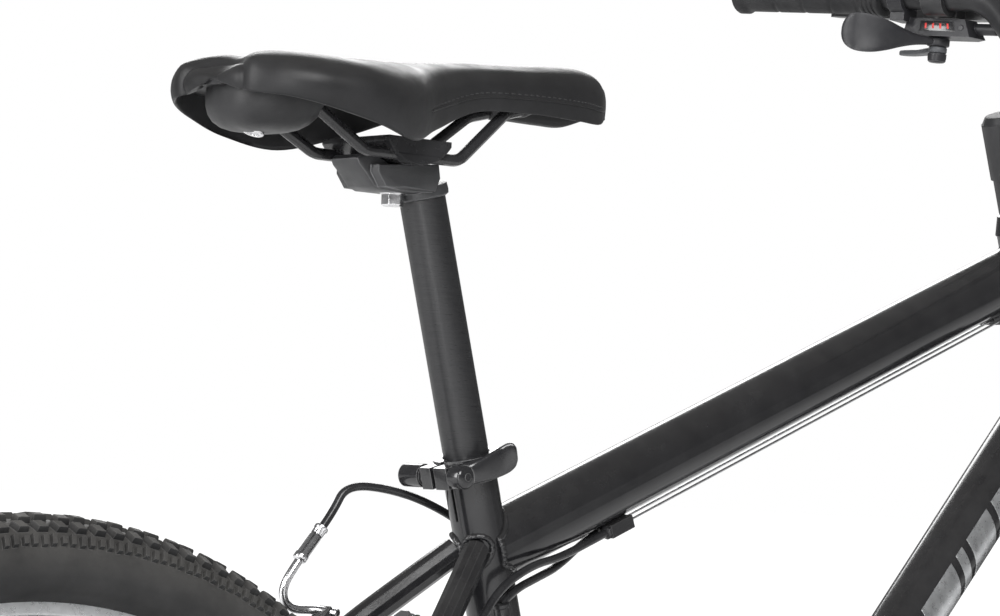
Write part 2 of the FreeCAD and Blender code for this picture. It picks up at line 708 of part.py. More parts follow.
def fork_crown():
    """Steerer, forged crown and the two stanchions."""
    top = STEM_BASE + STEM_CLAMP_HEIGHT - 3
    steerer = rod(V(0, 0, -CROWN_DEPTH + 8), V(0, 0, top), STEERER)
    race = rod(V(0, 0, -4), V(0, 0, 0), HEAD_TUBE + 2)
    outline = [(-22, -2), (22, -2), (50, -4), (80, -12), (80, -CROWN_DEPTH), (44, -CROWN_DEPTH),
               (34, -30), (-34, -30), (-44, -CROWN_DEPTH), (-80, -CROWN_DEPTH), (-80, -12), (-50, -4)]
    points = [V(-18, y, z) for y, z in outline]
    front = CROWN_OFFSET + CROWN_FRONT
    plate = prism(points, V(front + 18, 0, 0))
    back = [V(-19, 24, -60), V(-19, 90, -60), V(CROWN_OFFSET - 17, 90, -60)]
    for sign in (1, -1):
        notch = prism([V(p.x, sign * p.y, p.z) for p in back], V(0, 0, 80))
        plate = plate.cut(notch)
    crown = plate.fuse([race, steerer])
    tubes = []
    for sign in (1, -1):
        low = V(CROWN_OFFSET, sign * LEG_Y, STANCHION_LOW)
        high = V(CROWN_OFFSET, sign * LEG_Y, -9)
        tubes.append(pipe(low, high, STANCHION, STANCHION - 5))
        crown = crown.cut(rod(low, high, STANCHION))
    return placed(group(biggest(crown), *tubes), HEAD_FRAME)


def fork_lowers():
    """Two magnesium legs joined by an arch in front, with dropouts and brake bosses."""
    legs = []
    axle_forward = FORK_RAKE
    for sign in (1, -1):
        y = sign * LEG_Y
        top = V(CROWN_OFFSET, y, LEG_TOP)
        waist = V(CROWN_OFFSET, y, WAIST)
        foot = V(CROWN_OFFSET, y, LEG_BOTTOM)
        leg = rod(waist, top, LOWER_LEG).fuse(taper(foot, waist, LOWER_LEG - 8, LOWER_LEG))
        lip = rod(top + V(0, 0, -9), top + V(0, 0, 3), LOWER_LEG + 3)
        inner = FRONT_DROPOUT_INNER
        outline = [(axle_forward - 13, AXLE_DROP - 14), (axle_forward + 11, AXLE_DROP - 14),
                   (axle_forward + 15, AXLE_DROP + 4), (CROWN_OFFSET + 15, AXLE_DROP + 34),
                   (CROWN_OFFSET - 14, AXLE_DROP + 34), (axle_forward - 17, AXLE_DROP + 2)]
        points = [V(x, inner, z) for x, z in outline]
        plate = prism(points, V(0, 7, 0))
        slot = rod(V(axle_forward, inner - 1, AXLE_DROP), V(axle_forward, inner + 8, AXLE_DROP), AXLE_FRONT)
        half = AXLE_FRONT / 2
        low = V(axle_forward - half, inner - 1, AXLE_DROP - 20)
        mouth = box(low, V(axle_forward + half, inner + 8, AXLE_DROP))
        plate = plate.cut(slot).cut(mouth)
        plate = plate if sign > 0 else mirrored(plate)
        leg = leg.fuse([lip, plate])
        legs.append(leg)
    half = [(0, -70), (30, -72), (52, -84), (72, -112), (72, -158), (54, -158), (52, -122), (38, -98),
            (0, -88)]
    outline = half + [(-y, z) for y, z in reversed(half[1:-1])]
    arch = prism([V(ARCH_FRONT, y, z) for y, z in outline], V(10, 0, 0))
    feet = [box(V(CROWN_OFFSET, y - 9, -158), V(ARCH_FRONT + 1, y + 9, -122)) for y in (LEG_Y, -LEG_Y)]
    bosses = []
    for sign in (1, -1):
        foot = boss_pin(FRONT_ARM_BACK, FRONT_BOSS_BASE)
        web = box(V(FRONT_BOSS_BASE, BOSS_Y, -7), V(FRONT_BOSS_BASE + 9, BOSS_Y + 18, 7))
        foot = moved(foot.fuse(web), V(FRONT_BOSS_X, 0, FRONT_BOSS_Z))
        bosses.append(foot if sign > 0 else mirrored(foot))
    bore = STANCHION + 2 * RUNNING
    pockets = [rod(V(CROWN_OFFSET, y, WAIST), V(CROWN_OFFSET, y, LEG_TOP + 5), bore) for y in (LEG_Y, -LEG_Y)]
    lowers = legs[0].fuse([legs[1], arch] + feet + bosses)
    return placed(biggest(lowers.cut(pockets[0]).cut(pockets[1])), HEAD_FRAME)


FRONT_BOSS_X = CROWN_OFFSET
FRONT_BOSS_Z = AXLE_DROP + math.sqrt(BRAKE_BOSS_RADIUS ** 2 - (FORK_RAKE - CROWN_OFFSET) ** 2)
FRONT_BOSS_BASE = 8.0
FRONT_ARM_BACK = 30.0
FRONT_BRAKE_FRAME = HEAD_FRAME.multiply(turned(ALONG_Z, 0, V(FRONT_BOSS_X, 0, FRONT_BOSS_Z)))


def front_axle():
    """Front axle with its cones and the two nuts outside the dropouts."""
    return fixed_axle(FRONT_AXLE, AXLE_FRONT, FRONT_DROPOUT_INNER, 7.0)


def rear_axle():
    """Rear axle with its cones and the two nuts outside the dropouts."""
    return fixed_axle(REAR_AXLE, AXLE_REAR, DROPOUT_INNER, DROPOUT_THICKNESS)


def fixed_axle(centre, diameter, inner, plate):
    """An axle held in its dropouts: threaded rod, cone spacers inside, washers and nuts outside."""
    end = inner + plate + 15
    axle = rod(centre - V(0, end, 0), centre + V(0, end, 0), diameter)
    pieces = [axle]
    for sign in (1, -1):
        way = V(0, sign, 0)
        cone = rod(centre + way * (inner - CONE), centre + way * inner, diameter + 6)
        nut = hexagon(centre + way * (inner + plate), way, 17.5, 9)
        washer = rod(centre + way * (inner + plate), centre + way * (inner + plate + 2), 20)
        nut = nut.fuse(washer)
        pieces.append(cone.cut(axle))
        pieces.append(nut.cut(axle))
    return group(*pieces)


BAR_ROOT = V(394.4, 0, 1054.5)
BAR_CENTRE = V(383.0, 0, 995.0)
BAR_WAY = V(-math.sin(math.radians(BAR_SWEEP)),
            math.cos(math.radians(BAR_SWEEP)) * math.cos(math.radians(BAR_UPSWEEP)),
            math.sin(math.radians(BAR_UPSWEEP))).normalize()
BAR_FORWARD = BAR_WAY.cross(ALONG_Z).normalize()
BAR_UP = BAR_FORWARD.cross(BAR_WAY).normalize()
BAR_LINE_START = 60.0


def bar_at(along, forward=0.0, up=0.0):
    """A place by the left half of the handlebar: distance out along the grip line, then forward and up."""
    root = BAR_ROOT + V(0, BAR_LINE_START, 0) + BAR_WAY * (along - BAR_LINE_START)
    return root + BAR_FORWARD * forward + BAR_UP * up


def bar_ring(start, end, outer):
    """A sleeve round the bar between two distances along it."""
    return pipe(bar_at(start), bar_at(end), outer, BAR)


def handlebar():
    """Swept riser bar, thicker where the stem holds it."""
    left = [bar_at(BAR_HALF_LENGTH), bar_at(98), BAR_CENTRE + V(0, 42, 0)]
    right = [V(p.x, -p.y, p.z) for p in reversed(left)]
    bar = swept(left + right, BAR, radius=45)
    sleeve = rod(BAR_CENTRE - V(0, 24, 0), BAR_CENTRE + V(0, 24, 0), BAR_CLAMP)
    return bar.fuse(sleeve)


def stem():
    """Quill-less stem with a faceplate, on its spacers, under the headset's top cap."""
    base = STEM_BASE
    top = base + STEM_CLAMP_HEIGHT
    local_bar = HEAD_FRAME.inverse().multVec(BAR_CENTRE)
    ring = rod(V(0, 0, base), V(0, 0, top), STEERER + 9)
    middle = V(0, 0, base + STEM_CLAMP_HEIGHT / 2)
    reach = local_bar - middle
    side = reach.cross(ALONG_Y).normalize() * -1
    near = [middle + side * s * 14 + V(0, t * 15, 0) for s, t in ((-1, -1), (-1, 1), (1, 1), (1, -1))]
    far = [local_bar + side * s * 15 + V(0, t * 22, 0) for s, t in ((-1, -1), (-1, 1), (1, 1), (1, -1))]
    arm = loft([near, far])
    hold = rod(local_bar - V(0, 22, 0), local_bar + V(0, 22, 0), BAR_CLAMP + 12)
    body = ring.fuse([arm, hold])
    steerer = rod(V(0, 0, base - 1), V(0, 0, top + 1), STEERER)
    tube = rod(local_bar - V(0, 24, 0), local_bar + V(0, 24, 0), BAR_CLAMP)
    body = body.cut(steerer).cut(tube)
    way = reach.normalize()
    corners = ((1, -30), (2.5, -30), (2.5, 30), (1, 30))
    gap = prism([local_bar + way * f + side * s + V(0, -23, 0) for f, s in corners], V(0, 46, 0))
    solids = sorted(body.cut(gap).Solids, key=lambda solid: -solid.Volume)[:2]
    spacer = pipe(V(0, 0, base - SPACER_STACK), V(0, 0, base), STEERER + 6, STEERER)
    cap = taper(V(0, 0, top), V(0, 0, top + 5), STEERER + 8, STEERER + 2)
    return placed(group(*solids, spacer, cap), HEAD_FRAME)


def grips():
    """Rubber grips with a flange at the inner end and a closed outer end."""
    start = BAR_HALF_LENGTH - GRIP_LENGTH
    sleeve = bar_ring(start, BAR_HALF_LENGTH, GRIP)
    flange = bar_ring(start, start + 4, GRIP + 3)
    cap = rod(bar_at(BAR_HALF_LENGTH), bar_at(BAR_HALF_LENGTH + 3), GRIP + 4)
    rim = bar_ring(BAR_HALF_LENGTH - 5, BAR_HALF_LENGTH, GRIP + 4)
    return both(sleeve.fuse([flange, cap, rim]))


PERCH_AT = 140.0
LEVER_PIVOT = (PERCH_AT + 4.0, 30.0, -6.0)


def bar_prism(points, low, high):
    """A plate in the plane along and in front of the bar, between two heights."""
    corners = [bar_at(along, forward, low) for along, forward in points]
    return prism(corners, BAR_UP * (high - low))


def brake_perches():
    """Brake lever brackets: a clamp round the bar, two cheeks for the lever, a barrel adjuster."""
    along, forward, up = LEVER_PIVOT
    ring = bar_ring(PERCH_AT - 9, PERCH_AT + 9, BAR + 9)
    outline = [(PERCH_AT - 9, 12), (PERCH_AT + 9, 12), (PERCH_AT + 13, forward + 8),
               (PERCH_AT - 4, forward + 8), (PERCH_AT - 34, forward + 2), (PERCH_AT - 34, forward - 9),
               (PERCH_AT - 12, forward - 9)]
    body = bar_prism(outline, up - 9, up + 9)
    corners = [(PERCH_AT - 16, forward - 8), (PERCH_AT + 20, forward - 16), (PERCH_AT + 20, forward + 12),
               (PERCH_AT - 16, forward + 12)]
    slot = bar_prism(corners, up - 5.3, up + 5.3)
    barrel_low = bar_at(PERCH_AT - 34, forward - 4, up)
    barrel_high = bar_at(PERCH_AT - 50, forward - 4, up)
    barrel = rod(barrel_low, barrel_high, 9)
    perch = ring.fuse(body).cut(rod(bar_at(90), bar_at(180), BAR))
    perch = perch.cut(slot)
    pin = rod(bar_at(along, forward, up - 9), bar_at(along, forward, up + 9), 5)
    perch = biggest(perch).fuse([pin, barrel])
    return both(perch)


def brake_lever_shape():
    """A two-finger lever: a hub on the pivot pin and a blade that curves outwards beside the grip."""
    along, forward, up = LEVER_PIVOT
    hub = rod(bar_at(along, forward, up - 5), bar_at(along, forward, up + 5), 13)
    outline = [(along - 2, forward + 6), (along + 14, forward + 13), (along + 40, forward + 27),
               (along + 80, forward + 28), (along + 118, forward + 25), (along + 124, forward + 29),
               (along + 119, forward + 35), (along + 80, forward + 37), (along + 34, forward + 37),
               (along + 6, forward + 22), (along - 6, forward + 6)]
    blade = bar_prism(outline, up - 5, up + 5)
    lever = hub.fuse(blade)
    hole = rod(bar_at(along, forward, up - 6), bar_at(along, forward, up + 6), 5 + 2 * RUNNING)
    return biggest(lever.cut(hole))


SHIFTER_AT = 172.0
SHIFT_PIVOT = (SHIFTER_AT - 26.0, 16.0)
SHIFTER_LOW = -30.0
GEAR_BARREL_UP = -22.5
GEAR_BARREL_END = (SHIFT_PIVOT[0] - 48, SHIFT_PIVOT[1] + 2, GEAR_BARREL_UP)


def shifter_bodies():
    """Trigger shifters under the bar: a clamp, a faceted pod with a flat gear window, a pivot boss below."""
    ring = bar_ring(SHIFTER_AT - 6, SHIFTER_AT + 6, BAR + 8)
    along, forward = SHIFT_PIVOT
    low = [(along - 32, forward - 12), (along + 24, forward - 14), (along + 30, forward + 6),
           (along + 12, forward + 20), (along - 24, forward + 20), (along - 36, forward + 8)]
    high = [(along - 26, forward - 8), (along + 22, forward - 10), (along + 27, forward + 4),
            (along + 12, forward + 12), (along - 20, forward + 12), (along - 30, forward + 4)]
    bottom = [bar_at(a, f, SHIFTER_LOW) for a, f in low]
    top = [bar_at(a, f - 2, -16.4) for a, f in high]
    pod = loft([bottom, top])
    corners = [(SHIFTER_AT - 6, -6), (SHIFTER_AT + 6, -6), (SHIFTER_AT + 6, 14), (SHIFTER_AT - 6, 14)]
    neck = bar_prism(corners, -20, -10)
    barrel = rod(bar_at(along - 26, forward + 2, GEAR_BARREL_UP), bar_at(*GEAR_BARREL_END), 9)
    pin = rod(bar_at(along, forward, SHIFTER_LOW - 14), bar_at(along, forward, SHIFTER_LOW), 6)
    body = ring.fuse([neck, pod, barrel, pin]).cut(rod(bar_at(90), bar_at(190), BAR))
    return both(biggest(body))


def shift_thumb_shape():
    """Thumb paddle: a hub under the pod and a broad flat paddle that reaches out towards the rider."""
    along, forward = SHIFT_PIVOT
    top = SHIFTER_LOW - 0.6
    hub = rod(bar_at(along, forward, top - 6), bar_at(along, forward, top), 17)
    arm = bar_prism([(along - 4, forward + 6), (along - 6, forward - 6), (along + 10, forward - 30),
                     (along + 26, forward - 52), (along + 42, forward - 58), (along + 52, forward - 46),
                     (along + 46, forward - 32), (along + 26, forward - 18), (along + 8, forward + 4)],
                    top - 5, top - 1)
    lever = hub.fuse(arm)
    hole = rod(bar_at(along, forward, top - 8), bar_at(along, forward, top + 2), 6 + 2 * RUNNING)
    return biggest(lever.cut(hole))


def shift_release_shape():
    """Release lever: a small trigger on the same pivot, below the thumb paddle's hub, pointing forward."""
    along, forward = SHIFT_PIVOT
    top = SHIFTER_LOW - 7.2
    hub = rod(bar_at(along, forward, top - 5), bar_at(along, forward, top), 14)
    arm = bar_prism([(along - 4, forward + 3), (along + 4, forward - 4), (along + 24, forward + 12),
                     (along + 44, forward + 22), (along + 46, forward + 30), (along + 34, forward + 30),
                     (along + 12, forward + 18)], top - 4.5, top - 1)
    lever = hub.fuse(arm)
    hole = rod(bar_at(along, forward, top - 8), bar_at(along, forward, top + 2), 6 + 2 * RUNNING)
    return biggest(lever.cut(hole))


# ---------------------------------------------------------------- wheels
def tyre_section():
    """Half tyre section as (radius, y), outer skin then inner skin: bead, sidewall, shoulder, crown."""
    half = TYRE_WIDTH / 2
    bead = RIM_RADIUS - 6
    widest = TYRE_RADIUS - half
    outer = [(bead, 9.2), (RIM_RADIUS, 10.2), (widest, half), (TYRE_RADIUS - 11, half - 2),
             (TYRE_RADIUS, 9.0)]
    inner = [(TYRE_RADIUS - 9, 7.0), (widest, half - TYRE_WALL), (bead, 6.2)]
    return outer, inner


def tyre(centre):
    """An open clincher tyre: two beads, sidewalls, shoulders and a flat crown."""
    outer, inner = tyre_section()
    left = outer
    right = [(radius, -y) for radius, y in reversed(outer)]
    back = [(radius, -y) for radius, y in reversed(inner)]
    return moved(wheel_ring(left + right + back + inner), centre)


def rim(centre):
    """A double-wall rim: flat brake tracks, a V-shaped well below and bead seats between its lips."""
    half = RIM_WIDTH / 2
    track = RIM_RADIUS - BRAKE_TRACK
    well = RIM_RADIUS - 6
    inner = RIM_RADIUS - RIM_DEPTH
    section = [(RIM_RADIUS, half), (track, half), (inner, 4.0), (inner, -4.0), (track, -half),
               (RIM_RADIUS, -half), (well, -9.2), (well, 9.2)]
    return moved(wheel_ring(section), centre)


# Right and left end of each hub shell, right and left flange, and the flange's radius.
CONE = 7.0
FRONT_HUB_END = FRONT_HUB_WIDTH / 2 - CONE - CLEAR
FRONT_HUB_SHAPE = (-FRONT_HUB_END, FRONT_HUB_END, -35.0, 35.0, 20.0)
CASSETTE_FIRST = -CHAINLINE + 3 * SPROCKET_STEP
CASSETTE_INNER = CASSETTE_FIRST + 3.0
REAR_HUB_SHAPE = (CASSETTE_INNER + 0.6, REAR_HUB_WIDTH / 2 - CONE - CLEAR, -20.0, 34.0, 23.0)


def hub(centre, shape, axle):
    """A hub shell: two spoke flanges on a narrow barrel, bored for the axle's running fit."""
    low, high, right, left, radius = shape
    bore = axle / 2 + RUNNING
    waist = radius * 0.42
    end = radius * 0.55
    section = [(bore, low), (end, low), (end, right - 4), (radius, right - 2), (radius, right + 1),
               (waist, right + 8), (waist, left - 8), (radius, left - 1), (radius, left + 2),
               (end, left + 4), (end, high), (bore, high)]
    return moved(wheel_ring(section), centre)


SPOKE_SEAT = 2.5


def spokes(centre, shape):
    """Crossed spokes from both flanges to the rim, as flat-sided rods seated in both."""
    right, left, radius = shape[2:]
    pieces = []
    inner = RIM_RADIUS - RIM_DEPTH
    half = SPOKE_SIZE / 2
    for index in range(SPOKES):
        side = 1 if index % 2 else -1
        pair = 1 if (index // 2) % 2 else -1
        rim_angle = 2 * math.pi * index / SPOKES
        hub_angle = rim_angle + pair * math.radians(68)
        root = radius - SPOKE_SEAT
        end = inner + SPOKE_SEAT
        at = left + 0.5 if side > 0 else right - 0.5
        foot = V(root * math.cos(hub_angle), at, root * math.sin(hub_angle))
        tip = V(end * math.cos(rim_angle), side * 1.5, end * math.sin(rim_angle))
        way = (tip - foot).normalize()
        wide = way.cross(ALONG_Y).normalize() * half
        deep = way.cross(wide).normalize() * half
        corners = [foot + wide + deep, foot + wide - deep, foot - wide - deep, foot - wide + deep]
        pieces.append(prism(corners, tip - foot))
    return moved(Part.makeCompound(pieces), centre)


# ---------------------------------------------------------------- brakes
PAD_THICKNESS = 10.0
PAD_INNER = RIM_WIDTH / 2 + PAD_GAP
CABLE_LINE = BRAKE_ARM
NOODLE = 4.2
HOUSING_LEAD = 12.0
FERRULE_PLAY = 0.35


def brake_arm(axle, back, bearer):
    """One linear-pull brake arm in the brake's frame, on the +Y side, with its pad.

    The bearer arm carries the cable's bent guide tube; the other has the cable's anchor bolt.
    """
    y = BOSS_Y
    front = back + BRAKE_ARM_THICKNESS
    outline = [(y - 7, -9), (y + 7, -9), (y + 11, 4), (y + 8, 34), (y + 5, 66), (y + 3, CABLE_LINE + 8),
               (y - 7, CABLE_LINE + 8), (y - 6, 66), (y - 4, 44), (y - 7, 34), (y - 7, 17), (y - 10, 6)]
    arm = prism([V(back, a, b) for a, b in outline], V(BRAKE_ARM_THICKNESS, 0, 0))
    window = [(y - 2, 50), (y + 3, 50), (y + 1, 84), (y - 3, 84)]
    arm = arm.cut(prism([V(back - 1, a, b) for a, b in window], V(BRAKE_ARM_THICKNESS + 2, 0, 0)))
    middle = (back + front) / 2
    pad_radius = RIM_RADIUS - 7.5
    stud_z = math.sqrt(pad_radius ** 2 - (middle - axle.x) ** 2) + axle.z
    stud = rod(V(middle, PAD_INNER + PAD_THICKNESS, stud_z), V(middle, y + 13, stud_z), 6)
    nut = hexagon(V(middle, y + 7, stud_z), ALONG_Y, 12, 7)
    low = pad_radius - 5.0
    high = pad_radius + 5.0
    corners = [(low, PAD_INNER), (high, PAD_INNER), (high - 1, PAD_INNER + PAD_THICKNESS),
               (low + 1, PAD_INNER + PAD_THICKNESS)]
    face = Part.Face(Part.makePolygon([V(0, a, r) for r, a in corners + [corners[0]]]))
    start = math.degrees(math.atan2(middle - axle.x, stud_z - axle.z)) - 7.0
    face.rotate(ORIGIN, ALONG_Y, start)
    pad = moved(face.revolve(ORIGIN, ALONG_Y, 14), V(axle.x, 0, axle.z))
    arm = arm.fuse([stud, nut])
    if bearer:
        end = CABLE_LINE
        link = [V(back, y - 7, end - 5), V(back, y - 7, end + 5), V(back, y - 17, end + 4),
                V(back, y - 17, end - 4)]
        arm = arm.fuse(prism(link, V(9, 0, 0)))
    else:
        bolt_at = V(front, y - 2, CABLE_LINE)
        arm = arm.fuse(hexagon(bolt_at, ALONG_X, 11, 6))
    arm = arm.cut(rod(V(back - 1, y, 0), V(front + 1, y, 0), BOSS_PIN + 2 * RUNNING))
    return biggest(arm), pad


def noodle_tube(points, back):
    """The bent guide tube of a brake, from its cradle to the ferrule that takes the housing."""
    start = V(back + 4.5, BOSS_Y - 7, CABLE_LINE)
    path = [start + p for p in points]
    tube = swept(path, NOODLE, sides=6)
    way = (path[-1] - path[-2]).normalize()
    ferrule = rod(path[-1] - way * 24, path[-1], HOUSING + 2)
    return tube.fuse(ferrule), path[-1], way


REAR_NOODLE = [V(2, -3, 7), V(5, 9, 6), V(19, 15, -8), V(31, 15, -4), V(36, 12, 14), V(38, 11, 40)]
FRONT_NOODLE = [V(0, -2, 5.5), V(3, 14, 6), V(6, 24, 12), V(7, 27, 34), V(6, 26, 58)]


def brake_pair(frame, axle, back, noodle):
    """The two arms of a brake in the part's frame: the bearer, then the anchor arm."""
    local = frame.inverse().multVec(axle)
    bearer, pad = brake_arm(local, back, True)
    tube, mouth, way = noodle_tube(noodle, back)
    anchor, other_pad = brake_arm(local, back, False)
    first = placed(mirrored(group(bearer.fuse(tube), pad)), frame)
    second = placed(group(anchor, other_pad), frame)
    lead = mouth + way * HOUSING_LEAD
    end = mouth + way * FERRULE_PLAY
    return first, second, [frame.multVec(V(p.x, -p.y, p.z)) for p in (lead, end)]


# ---------------------------------------------------------------- drivetrain
def pitch_radius(teeth):
    """Radius through the roller centres of a sprocket."""
    return CHAIN_PITCH / (2 * math.sin(math.pi / teeth))


def toothed(teeth, thickness, bore, y, phase=0.0, flat_tips=True):
    """A sprocket about the Y axis through the origin, centred on a value of y."""
    middle = pitch_radius(teeth)
    root = middle - 3.6
    tip = middle + (3.4 if flat_tips else 4.0)
    pitch = 2 * math.pi / teeth
    spots = [(-0.22, root), (0.22, root)] + ([(0.42, tip), (0.58, tip)] if flat_tips else [(0.5, tip)])
    points = []
    for tooth in range(teeth):
        for share, radius in spots:
            angle = phase + pitch * (tooth + share)
            points.append(V(radius * math.cos(angle), y - thickness / 2, radius * math.sin(angle)))
    plate = prism(points, V(0, thickness, 0))
    return plate.cut(rod(V(0, y - thickness, 0), V(0, y + thickness, 0), bore))


RING_SPOTS = [-CHAINLINE + RING_STEP, -CHAINLINE, -CHAINLINE - RING_STEP]
SPIDER_ARMS = 4
RING_BOLTS = 52.0
CRANK_INNER = 66.0
CRANK_THICKNESS = 13.0
CRANK_BOSS = 34.0


def crank_arm_shape():
    """One forged crank arm along +X on the +Y side: spindle boss, tapered beam, pedal eye."""
    inner = CRANK_INNER
    boss = rod(V(0, inner - 8, 0), V(0, inner + CRANK_THICKNESS, 0), CRANK_BOSS)
    eye = rod(V(CRANK_LENGTH, inner + 1, 0), V(CRANK_LENGTH, inner + CRANK_THICKNESS, 0), 27)
    outer = inner + CRANK_THICKNESS
    near = [V(0, inner, -14), V(0, outer, -13), V(0, outer, 13), V(0, inner, 14)]
    far = [V(CRANK_LENGTH, inner + 1, -10.5), V(CRANK_LENGTH, outer, -9.5),
           V(CRANK_LENGTH, outer, 9.5), V(CRANK_LENGTH, inner + 1, 10.5)]
    return boss.fuse([eye, loft([near, far])])


PEDAL_SPINDLE = 9.0
PEDAL_INNER = CRANK_INNER + CRANK_THICKNESS
PEDAL_WIDTH = 92.0


def cranks():
    """Both arms, the spider, the spindle between them and the two pedal spindles."""
    left = crank_arm_shape().rotate(ORIGIN, ALONG_Y, 180)
    right = mirrored(crank_arm_shape())
    spin = rod(V(0, -CRANK_INNER + 4, 0), V(0, CRANK_INNER - 4, 0), SPINDLE)
    arms = [left, right, spin]
    for sign, x in ((1, -CRANK_LENGTH), (-1, CRANK_LENGTH)):
        root = V(x, sign * (CRANK_INNER + 6), 0)
        shoulder = V(x, sign * (PEDAL_INNER + 5), 0)
        tip = V(x, sign * (PEDAL_INNER + PEDAL_WIDTH - 6), 0)
        arms.append(rod(root, tip, PEDAL_SPINDLE))
        arms.append(rod(V(x, sign * PEDAL_INNER, 0), shoulder, 15))
    low = RING_SPOTS[2] - 1.4
    for arm in range(SPIDER_ARMS):
        leg = box(V(0, low - 7, -9), V(RING_BOLTS + 9, low, 9))
        leg.rotate(ORIGIN, ALONG_Y, 45 + 360 / SPIDER_ARMS * arm)
        arms.append(leg)
    arms.append(rod(V(0, low - 7, 0), V(0, low, 0), 46))
    whole = arms[0].fuse(arms[1:])
    return moved(biggest(whole), BB)


def chainrings():
    """Three toothed rings bolted to the spider, with spacers at the bolts."""
    rings = []
    for count, (teeth, y) in enumerate(zip(CHAINRINGS, RING_SPOTS)):
        opening = (2 * pitch_radius(teeth) - 34) if count else 34
        rings.append(toothed(teeth, 2.0, min(opening, 2 * (RING_BOLTS - 8)), y))
    low = RING_SPOTS[2] - 1.0
    high = RING_SPOTS[0] + 1.0
    posts = []
    for arm in range(SPIDER_ARMS):
        turn = math.radians(45 + 360 / SPIDER_ARMS * arm)
        for radius, top in ((RING_BOLTS, RING_SPOTS[1] + 1), (32.0, high)):
            at = V(radius * math.cos(turn), 0, radius * math.sin(turn))
            foot = low if radius == RING_BOLTS else low - 0.4
            posts.append(hexagon(at + V(0, foot, 0), ALONG_Y, 11, top - foot))
    return moved(rings[0].fuse(rings[1:] + posts), BB)


def cassette():
    """Seven sprockets on one body, largest inside."""
    inner = AXLE_REAR / 2 + RUNNING
    cogs = []
    for count, teeth in enumerate(SPROCKETS):
        y = CASSETTE_FIRST - SPROCKET_STEP * count
        cogs.append(toothed(teeth, SPROCKET_THICKNESS, 2 * inner, y, flat_tips=False))
    last = CASSETTE_FIRST - SPROCKET_STEP * (len(SPROCKETS) - 1)
    cone_end = -DROPOUT_INNER + CONE + CLEAR
    body = pipe(V(0, CASSETTE_INNER, 0), V(0, last, 0), 35, 2 * inner)
    hollow = rod(V(0, cone_end, 0), V(0, last - 2, 0), AXLE_REAR + 7)
    return moved(biggest(cogs[0].fuse(cogs[1:] + [body]).cut(hollow)), REAR_AXLE)


def pedal_shape():
    """A platform pedal about its spindle at the origin, body outwards along +Y: cage plates and a core."""
    low = 6.0
    high = PEDAL_WIDTH
    core = rod(V(0, low, 0), V(0, high, 0), 22)
    bars = [box(V(-46, low + 8, -4), V(46, low + 22, 4)), box(V(-46, high - 22, -4), V(46, high - 6, 4))]
    outline = [(-50, -11), (-44, -13), (-38, -9), (38, -9), (44, -13), (50, -11),
               (50, 11), (44, 13), (38, 9), (-38, 9), (-44, 13), (-50, 11)]
    front = box(V(44, low + 4, -12), V(48, high - 2, 12))
    rear = box(V(-48, low + 4, -12), V(-44, high - 2, 12))
    side = side_plate(outline, high - 6, high - 2)
    body = core.fuse(bars + [front, rear, side])
    return biggest(body.cut(rod(V(0, 0, 0), V(0, PEDAL_WIDTH - 5, 0), PEDAL_SPINDLE + 2 * RUNNING)))


def pedal(sign):
    """A pedal on its spindle."""
    shape = moved(pedal_shape(), V(0, PEDAL_INNER, 0))
    shape = shape if sign > 0 else mirrored(shape)
    return moved(shape, BB + V(-sign * CRANK_LENGTH, 0, 0))


# ---------------------------------------------------------------- rear derailleur
HANGER = REAR_AXLE + HANGER_BOLT
GEAR_END = V(-574, -81, 294)
GEAR_LEAD = V(-588, -81, 289)
LINK_DOWN = V(0.6, 0, -0.8)
LINK_AXIS = V(0.8, 0, 0.6)
LINK_ORIGIN = REAR_AXLE + V(-3, -89, -50)
LINK_FRAME = FreeCAD.Placement(LINK_ORIGIN, FreeCAD.Rotation(LINK_AXIS, ALONG_Y, V(-0.6, 0, 0.8), "XYZ"))
LINK_LENGTH = 40.0
LINK_ANGLE = 60.0
LINK_STEP = 12.0
LINK_PIN = 4.0
LINK_HALF = 7.0
LINK_RADIUS = 4.5
CAGE_PIVOT = REAR_AXLE + V(24, 0, -96)
CAGE_PIN = 8.0
CAGE_WAY = V(0.36, 0, -0.933).normalize()
PULLEY_SPAN = 58.0
GUIDE_PULLEY = REAR_AXLE + V(30, 0, -104)
IDLER_PULLEY = GUIDE_PULLEY + CAGE_WAY * PULLEY_SPAN
PULLEY_PIN = 5.0
CAGE_GAP = 4.4
CAGE_PLATE = 1.6
KNUCKLE_FACE = -CHAINLINE - CAGE_GAP - CAGE_PLATE


def link_pivots():
    """The four pivots of the parallelogram in its own frame: X along the pins, Y inboard."""
    angle = math.radians(LINK_ANGLE)
    reach = V(0, LINK_LENGTH * math.cos(angle), -LINK_LENGTH * math.sin(angle))
    step = V(0, LINK_STEP * math.sin(angle), LINK_STEP * math.cos(angle))
    return V(0, 0, 0), step, reach, reach + step


def capsule(start, end, radius, low, high):
    """A bar with round ends about two parallel pins along X."""
    shift = V(low, 0, 0)
    length = V(high - low, 0, 0)
    way = (end - start).normalize()
    side = V(1, 0, 0).cross(way) * radius
    corners = [start + side, end + side, end - side, start - side]
    block = prism([corner + shift for corner in corners], length)
    ends = [rod(p + shift, p + shift + length, 2 * radius) for p in (start, end)]
    return block.fuse(ends).removeSplitter()


def derailleur_link(number):
    """One link of the parallelogram, bored for its two pins."""
    pivots = link_pivots()
    start, end = pivots[number], pivots[number + 2]
    link = capsule(start, end, LINK_RADIUS, -LINK_HALF, LINK_HALF)
    for pivot in (start, end):
        link = link.cut(rod(pivot - V(9, 0, 0), pivot + V(9, 0, 0), LINK_PIN + 2 * RUNNING))
    return placed(biggest(link), LINK_FRAME)


